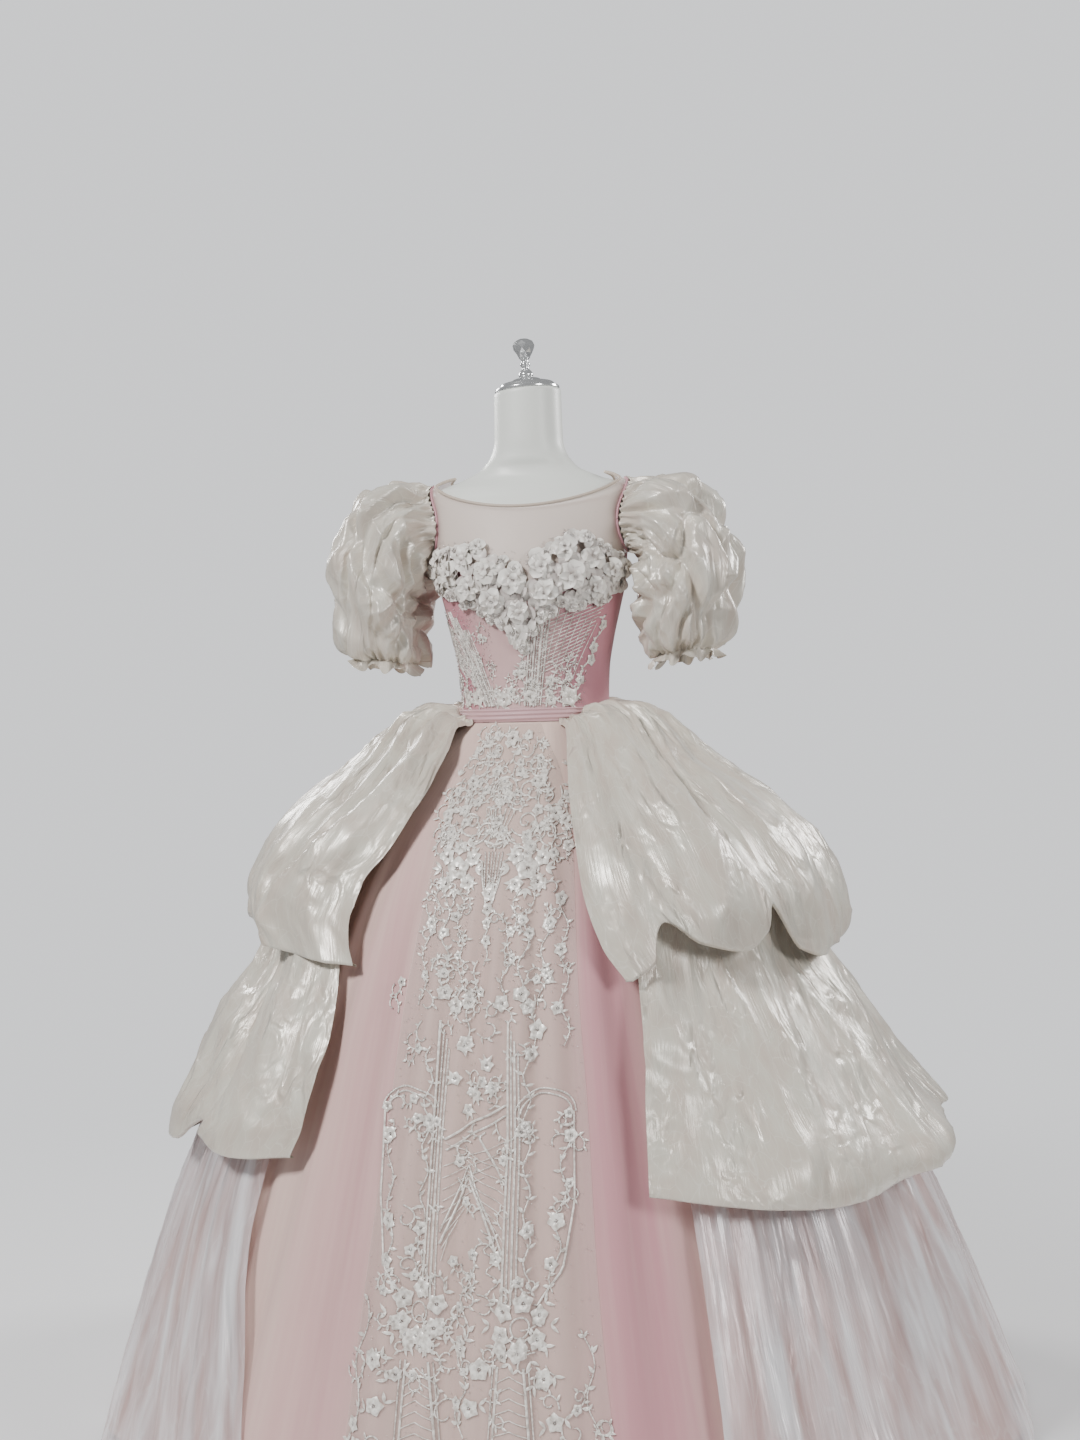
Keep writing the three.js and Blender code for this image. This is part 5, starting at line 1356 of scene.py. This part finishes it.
for line, width in (
        ([(-0.040, 0.525), (0.0, 0.548), (0.042, 0.568)], 0.0032),
        ([(-0.038, 0.512), (0.004, 0.536), (0.043, 0.556)], 0.0026),
        ([(-0.044, 0.400), (-0.020, 0.452), (-0.008, 0.480), (0.010, 0.448), (0.038, 0.372)], 0.0030),
        ([(-0.044, 0.414), (-0.008, 0.494), (0.040, 0.390)], 0.0024),
        ([(0.008, 0.528), (0.042, 0.472)], 0.0028)):
    skirt_lace.cord(line, width, 0.0034)
for k in range(9):
    height = 0.520 - 0.014 * k
    skirt_lace.cord([(-0.042, height - 0.028), (-0.042 + 0.0095 * (9 - k), height + 0.004)], 0.0011)
    skirt_lace.cord([(0.042, height - 0.032), (0.042 - 0.0090 * (9 - k), height)], 0.0011)
for spot in ((-0.020, 0.640), (-0.030, 0.600), (0.014, 0.618), (0.000, 0.580), (0.022, 0.590),
             (-0.012, 0.560)):
    skirt_lace.flower(spot, 0.009)
    skirt_lace.sprig(spot, skirt_lace.draw.uniform(0, 2 * math.pi), 0.014, 3)

# Rosettes, scattered sprigs, and ladders that spread to the hem.
for middle in np.array([(-0.070, 0.318), (0.064, 0.308)]):
    for turn in evenly(6, 0.4):
        skirt_lace.flower(middle + towards(turn) * (0.026, 0.028), 0.013)
    skirt_lace.cord(middle + towards(oval) * (0.011, 0.012), 0.0022, 0.004)
    for turn in evenly(10):
        skirt_lace.sprig(middle + towards(turn) * (0.040, 0.042), turn, 0.013, 2)
for x, z, size in (
        (-0.128, 0.262, 0.013), (-0.100, 0.246, 0.009), (0.012, 0.258, 0.014), (0.000, 0.214, 0.012),
        (0.094, 0.246, 0.014), (0.108, 0.198, 0.012), (-0.124, 0.210, 0.012), (-0.014, 0.286, 0.008),
        (-0.150, 0.160, 0.012), (0.132, 0.150, 0.013), (0.008, 0.160, 0.012), (-0.006, 0.112, 0.013),
        (0.140, 0.090, 0.013), (-0.146, 0.096, 0.013), (0.010, 0.060, 0.012), (0.120, 0.045, 0.012)):
    skirt_lace.flower((x, z), size, 5 + int(size * 1000) % 2)
    skirt_lace.sprig((x + size, z + 0.004), skirt_lace.draw.uniform(-1, 1), 0.013, 2)
    skirt_lace.sprig((x - size, z - 0.006), math.pi + skirt_lace.draw.uniform(-1, 1), 0.013, 2)
for middle in (-0.072, 0.052):
    for side in (-1, 1):
        rail = [(middle + side * 0.016, 0.262), (middle + side * 0.024, 0.160),
                (middle + side * 0.040, 0.022)]
        skirt_lace.cord(rail, 0.0030, 0.0036)
        skirt_lace.cord([(x + side * 0.006, z) for x, z in rail], 0.0018, 0.005)
        skirt_lace.petals((middle + side * 0.012, 0.272), UP, 0.026, 0.018, 0.002)
    for k in range(19):
        height = 0.250 - 0.0122 * k
        reach = 0.015 + (0.262 - height) * 0.10
        skirt_lace.cord([(middle - reach, height - 0.006), (middle, height + 0.004),
                         (middle + reach, height - 0.006)], 0.0013)
for top, low in (((-0.006, 0.372), (-0.014, 0.180)), ((0.004, 0.180), (0.0, 0.040)),
                 ((-0.145, 0.330), (-0.172, 0.030)), ((0.148, 0.300), (0.176, 0.030)),
                 ((0.020, 0.420), (0.030, 0.345))):
    skirt_lace.vine(top, low, 0.008, 3, 0.012, 0.020, flowers=((0.5, 0.010),))


def in_panel(u, z):
    """Flat place in the lace's panel: u runs from -1 at its right edge to 1 at its left."""
    reach = np.where(u < 0, through(LACE_PANEL, 2, z), through(LACE_PANEL, 3, z))
    return np.stack([u * reach, z], -1)


SEQUINS = 900
sequin_u = skirt_lace.draw.uniform(-0.98, 0.98, SEQUINS)
skirt_lace.beads(in_panel(sequin_u, skirt_lace.draw.uniform(0.02, 1.055, SEQUINS)), 0.0008)
skirt_cords = skirt_lace.piece("skirt_lace_cords", cord_silver, "silver_lace",
                               [skirt_lace.cords_mesh(), skirt_lace.petals_mesh()])
skirt_beads = skirt_lace.piece("skirt_lace_beads", bead_silver, "silver_lace", [skirt_lace.beads_mesh()])
u_grid, z_grid = np.meshgrid(np.linspace(-1, 1, 70), np.linspace(1.068, 0.012, 170))
net_points = lifted(on_skirt, in_panel(u_grid, z_grid), LACE_LIFT - 0.0004)
skirt_net = new_surface("skirt_lace_net", net_points, lace_net, "silver_lace", uv=uv_of(net_points))
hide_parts("skirt_lace")

# Bodice lace
# The same cord and beads laid along the bodice's bones: fans of fine lines below the bust, borders of
# vine, and a flower at the foot of each bone.

BODICE_REACH = 0.120


def on_bodice(flat):
    """The bodice's surface at flat[..., 0] metres round from the centre front and height flat[..., 1]."""
    return figure(flat[..., 0] / BODICE_REACH, flat[..., 1])


def round_at(degrees, z):
    """Flat place on the bodice at an angle in degrees."""
    return (degrees * DEGREE * BODICE_REACH, z)


BODICE_LACE_LIFT = 0.0006
bodice_lace = Embroidery(on_bodice, BODICE_LACE_LIFT, 7)
# angle and height at the top and at the waist of each boned line
BONES = ((-62, 1.245, -31, 1.096), (-55, 1.235, -27, 1.096), (-44, 1.215, -24, 1.096),
         (13, 1.245, 6, 1.096), (18, 1.245, 10, 1.096), (8, 1.215, 2, 1.096))
for top_angle, top_z, foot_angle, foot_z in BONES:
    for k, width in enumerate((0.0028, 0.0018, 0.0022)):
        shift = (k - 1) * 2.2
        middle = round_at((top_angle + foot_angle) / 2 + shift * 0.9, (top_z + foot_z) / 2 - 0.006)
        bodice_lace.cord([round_at(top_angle + shift, top_z), middle,
                          round_at(foot_angle + shift * 0.8, foot_z)], width, 0.0034)


def fan_line(start, stop, start_step, stop_step, share, width, beads=0.0):
    """One line of a fan: its ends, as (angle, height), move by their steps as share goes from 0 to 1."""
    ends = np.array([start, stop]) + share * np.array([start_step, stop_step])
    bodice_lace.cord([round_at(*ends[0]), round_at(*ends[1])], width, beads)


for k in range(15):
    share, beads = k / 14, 0.0042 if k % 2 else 0
    fan_line((13, 1.222), (64, 1.262), (-5, -0.082), (-22, -0.090), share, 0.0014, beads)
    fan_line((-88, 1.240), (-54, 1.205), (14, -0.060), (18, -0.085), share, 0.0014, beads)
for share in np.linspace(0, 1, 9):
    fan_line((16, 1.250), (12, 1.180), (40, -0.030), (24, -0.050), share, 0.0011)
for top, low, sway, waves, leaf, flowers in (
        ((64, 1.232), (56, 1.180), 0.004, 1.5, 0.009, ((0.3, 0.009), (0.95, 0.010))),
        ((57, 1.185), (34, 1.098), 0.004, 2, 0.009, ((0.25, 0.010), (0.6, 0.009))),
        ((0, 1.205), (-2, 1.100), 0.004, 2, 0.008, ((0.25, 0.008), (0.6, 0.008))),
        ((-66, 1.200), (-52, 1.098), 0.005, 2, 0.009, ((0.4, 0.009), (0.8, 0.010))),
        ((-46, 1.165), (-40, 1.100), 0.004, 2, 0.008, ((0.5, 0.009),)),
        ((24, 1.165), (18, 1.100), 0.004, 2, 0.008, ((0.5, 0.009),)),
        ((36, 1.165), (27, 1.100), 0.004, 2, 0.008, ((0.4, 0.008),))):
    bodice_lace.vine(round_at(*top), round_at(*low), sway, waves, leaf, 0.008, flowers=flowers)
for angle, height, size in ((35, 1.108, 0.016), (-40, 1.110, 0.014), (-16, 1.106, 0.014), (-10, 1.118, 0.009),
                            (-22, 1.116, 0.009), (4, 1.110, 0.011), (-54, 1.106, 0.012), (20, 1.104, 0.010)):
    bodice_lace.flower(round_at(angle, height), size, 6)
    for turn in evenly(5):
        bodice_lace.sprig(round_at(angle, height) + size * 0.9 * towards(turn), turn, 0.008, 2)
bodice_lace.thicket(46, lambda a, b: round_at(-72 + 46 * a, 1.100 + (0.110 + 0.03 * (1 - a)) * b),
                    0.026, 0.0015, 0.006)
bodice_lace.thicket(24, lambda a, b: round_at(2 + 34 * a, 1.100 + (0.035 + 0.045 * a) * b),
                    0.024, 0.0015, 0.006)
bodice_lace.thicket(12, lambda a, b: round_at(-12 + 18 * a, 1.100 + 0.075 * b), 0.022, 0.0014, 0.006)
scatter = bodice_lace.draw.uniform((-80, 1.098), (50, 1.25), (1100, 2))
scatter = scatter[(scatter[:, 0] < -22) | (scatter[:, 0] > 4)]
bodice_lace.beads(np.stack([scatter[:, 0] * DEGREE * BODICE_REACH, scatter[:, 1]], -1), 0.0009)
bodice_threads = bodice_lace.piece("bodice_lace_cords", cord_silver, "silver_lace",
                                   [bodice_lace.cords_mesh(), bodice_lace.petals_mesh()])
bodice_lace.piece("bodice_lace_beads", bead_silver, "silver_lace", [bodice_lace.beads_mesh()])
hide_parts("bodice_lace")

# Bust flowers
# A band of overlapping flowers cut from white satin and organza, heat-curled and sewn through beaded
# hearts, along a sweetheart line that dips to a point of long petals.

petal_satin = plain_finish("petal_satin_white", (0.80, 0.79, 0.76), 0.42, Sheen_Weight=0.35, Coat_Weight=0.12)
# Painted shade: the petals' tone runs from a dark pinkish grey in throats and under other petals to near white.
petal_shading = add_node(petal_satin, "ShaderNodeAttribute", attribute_name="tone")
petal_shade_ramp = ramp_on(petal_satin, petal_shading, "Fac", (0.46, 0.38, 0.36), (0.90, 0.87, 0.81))
link_shader(petal_satin, petal_shade_ramp, "Color", "Base Color")

PETAL_ROWS, PETAL_COLUMNS = 7, 6


def curled_petals(middle, out, turn, length, width, open_angle, lift, draw):
    """Petals as curled grids. Each leaves its flower's middle in the direction `turn` round the normal
    `out`, opens from upright by open_angle, and curls back at its rim: at share t of its length it leans
    open_angle + 0.7 t^2 from the normal."""
    count = len(middle)
    turn, length, width, open_angle, lift = (
        values[:, None, None] for values in (turn, length, width, open_angle, lift))
    middle, out = middle[:, None, None], out[:, None, None]
    level = unit(np.cross(np.array([0, 0, 1.0]), out))
    ahead = np.cos(turn)[..., None] * level + np.sin(turn)[..., None] * np.cross(out, level)
    t = np.linspace(0, 1, PETAL_ROWS)[None, :, None]
    a = np.linspace(-1, 1, PETAL_COLUMNS)[None, None, :]
    shape = np.sin(math.pi * np.clip(0.06 + 0.80 * t**0.85, 0, 0.99)) ** 0.8
    bend = np.clip(open_angle + 0.7 * t**2, 0.2, 1.75)
    wave = np.sin(3.0 * a + draw.uniform(0, 6, (count, 1, 1))) * t
    high = length * t * np.cos(bend) + width * (0.16 * shape * a**2 + 0.04 * wave) + lift
    points = (middle + (length * t * np.sin(bend))[..., None] * ahead + high[..., None] * out
              + (width / 2 * shape * a)[..., None] * np.cross(out, ahead))
    return points.reshape(-1, 3), grid_faces(count, PETAL_ROWS, PETAL_COLUMNS)


# angle, height and radius of the large flowers
LARGE_FLOWERS = np.array([
    (-72, 1.314, 0.018), (-60, 1.322, 0.020), (-47, 1.300, 0.022), (-34, 1.320, 0.019), (-31, 1.276, 0.021),
    (-19, 1.300, 0.021), (-16, 1.258, 0.020), (-3, 1.286, 0.022), (0, 1.240, 0.018), (14, 1.304, 0.020),
    (17, 1.266, 0.021), (27, 1.332, 0.020), (33, 1.290, 0.022), (45, 1.318, 0.020), (48, 1.274, 0.019),
    (61, 1.298, 0.020), (73, 1.304, 0.017), (-58, 1.288, 0.016), (40, 1.345, 0.014), (-24, 1.338, 0.014)])
bust_draw = np.random.default_rng(17)


def seats_on_bodice(places):
    """Points on the bodice at rows of (angle in degrees, height), and the outward normals there."""
    flat = np.stack([places[:, 0] * DEGREE * BODICE_REACH, places[:, 1]], -1)
    seat = on_bodice(flat)
    return seat, (lifted(on_bodice, flat, 0.001) - seat) / 0.001


def strewn(places, size, lift, ring, opening, tone):
    """A ring of `ring` petals round each place, each flower leaning a little its own way."""
    seat, out = seats_on_bodice(places)
    out = unit(out + bust_draw.normal(0, 0.13, out.shape))
    first = bust_draw.uniform(0, 2 * math.pi, len(places))
    for k in range(ring):
        turn = first + k * 2 * math.pi / ring + bust_draw.uniform(-0.15, 0.15, len(places))
        length = size * bust_draw.uniform(0.88, 1.12, len(places))
        opened = opening + bust_draw.uniform(-0.14, 0.10, len(places))
        lifts = lift + bust_draw.uniform(0, 0.0012, len(places))
        petal_parts.append(curled_petals(seat, out, turn, length, length * 1.12, opened, lifts, bust_draw))
        # Painted shade: each ring's petals take the flower's tone, a little darker for the inner ring, and
        # darker still in the throat.
        shade = tone * bust_draw.uniform(0.85, 1.1, len(places))
        petal_shades.append(np.repeat(shade, PETAL_ROWS * PETAL_COLUMNS) * petal_throat_shade(len(places)))
    return seat, out


def petal_throat_shade(count):
    """Painted shade on each petal: dark in the flower's throat, pale from the middle to the rim."""
    return np.tile(np.repeat(np.linspace(0.1, 1.5, PETAL_ROWS) ** 0.7, PETAL_COLUMNS), count)


def band_edge(angle, column):
    """Height of the upper (1) or lower (2) edge of the band of flowers."""
    return np.interp(angle, BUST_BAND[:, 0], BUST_BAND[:, column])


petal_parts, petal_shades, heart_places, heart_sizes = [], [], [], []
# Flat petals laid like scales make the ground of the band; the topmost point up past its edge.
SCALE_STEP, SCALE_DROP = 5.4, 0.0135
scales = []
for angle in np.arange(-79, 80, SCALE_STEP):
    heights = np.arange(band_edge(angle, 1) - 0.012, band_edge(angle, 2) + 0.012, -SCALE_DROP)
    for k, height in enumerate(heights):
        scales.append((angle + (SCALE_STEP / 2 if k % 2 else 0) + bust_draw.uniform(-1, 1),
                       height + bust_draw.uniform(-0.003, 0.003), k))
scales = np.array(scales)
scale_seat, scale_out = seats_on_bodice(scales[:, :2])
scale_turn = np.where(scales[:, 2] < 1, UP, -UP) + bust_draw.uniform(-0.9, 0.9, len(scales))
scale_length = bust_draw.uniform(0.018, 0.025, len(scales))
petal_parts.append(curled_petals(scale_seat, scale_out, scale_turn, scale_length, scale_length * 0.95,
                                 bust_draw.uniform(1.15, 1.32, len(scales)), 0.0050 - 0.0006 * scales[:, 2],
                                 bust_draw))
# Painted shade: the ground's scales, under the flowers, are toned darker, by a random amount each.
scale_shade = np.repeat(bust_draw.uniform(0.55, 0.85, len(scales)), PETAL_ROWS * PETAL_COLUMNS)
petal_shades.append(scale_shade * petal_throat_shade(len(scales)))
edges = []
for angle in np.arange(-77, 79, 6.5):
    edges.append((angle, band_edge(angle, 2) + bust_draw.uniform(-0.004, 0.008)))
    if bust_draw.uniform() < 0.6:
        edges.append((angle + 3, band_edge(angle + 3, 1) + bust_draw.uniform(-0.010, 0.002)))
edges = np.array(edges)
for places, size, lift, inner in ((LARGE_FLOWERS[:, :2], LARGE_FLOWERS[:, 2], 0.0085, 0.5),
                                  (edges, np.full(len(edges), 0.0105), 0.0050, 0)):
    seat, lean = strewn(places, size, lift, 5, 1.22, 1.0)
    if inner:
        strewn(places, size * inner, lift + 0.002, 4, 0.75, 0.9)
    level = np.cross(np.array([0, 0, 1.0]), lean)
    for turn in evenly(6):
        beside = math.cos(turn) * level + math.sin(turn) * np.cross(lean, level)
        heart_places.append(seat + lean * (lift + 0.0050) + 0.0026 * beside)
        heart_sizes.append(np.full(len(seat), 0.0015))
    heart_places.append(seat + lean * (lift + 0.0062))
    heart_sizes.append(np.full(len(seat), 0.0017))
# Long petals that hang from the point of the sweetheart.
hang = np.array([(-14, 1.236), (-9, 1.224), (-4, 1.214), (0, 1.206), (4, 1.212), (9, 1.228), (-2, 1.228),
                 (3, 1.226), (-7, 1.240), (1, 1.200)])
hang_seat = figure(hang[:, 0] * DEGREE, hang[:, 1])
hang_out = np.stack([np.sin(hang[:, 0] * DEGREE), -np.cos(hang[:, 0] * DEGREE), 0 * hang[:, 0]], -1)
hang_turn = -UP + bust_draw.uniform(-0.45, 0.45, len(hang))
# length, width, opening and lift of each
hang_sizes = [np.full(len(hang), size) for size in (0.026, 0.012, 1.2, 0.003)]
petal_parts.append(curled_petals(hang_seat, hang_out, hang_turn, *hang_sizes, bust_draw))
petal_shades.append(0.9 * petal_throat_shade(len(hang)))
petal_points, petal_faces = joined(petal_parts)
# The tone attribute carries painted shade: dark in throats and on the scales under the flowers.
bust_petals = new_piece("bust_petals", petal_points, petal_faces, petal_satin, "flower_petals",
                        marks={"tone": np.clip(np.concatenate(petal_shades), 0, 1)})
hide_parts("bust_flowers")
EDGE_BEADS = 260
edge_beads = bust_draw.uniform((-70, -0.004), (70, 0.022), (EDGE_BEADS, 2))
edge_z = band_edge(edge_beads[:, 0], 1) + edge_beads[:, 1] * bust_draw.uniform(0, 1, EDGE_BEADS)
edge_places = lifted(on_bodice, np.stack([edge_beads[:, 0] * DEGREE * BODICE_REACH, edge_z], -1), 0.0012)
edge_sizes = bust_draw.uniform(0.0007, 0.0013, EDGE_BEADS)
heart_points, heart_faces = ball_points(np.concatenate(heart_places + [edge_places]),
                                        np.concatenate(heart_sizes + [edge_sizes]))
new_piece("bust_beads", heart_points, heart_faces, bead_silver, "silver_lace")
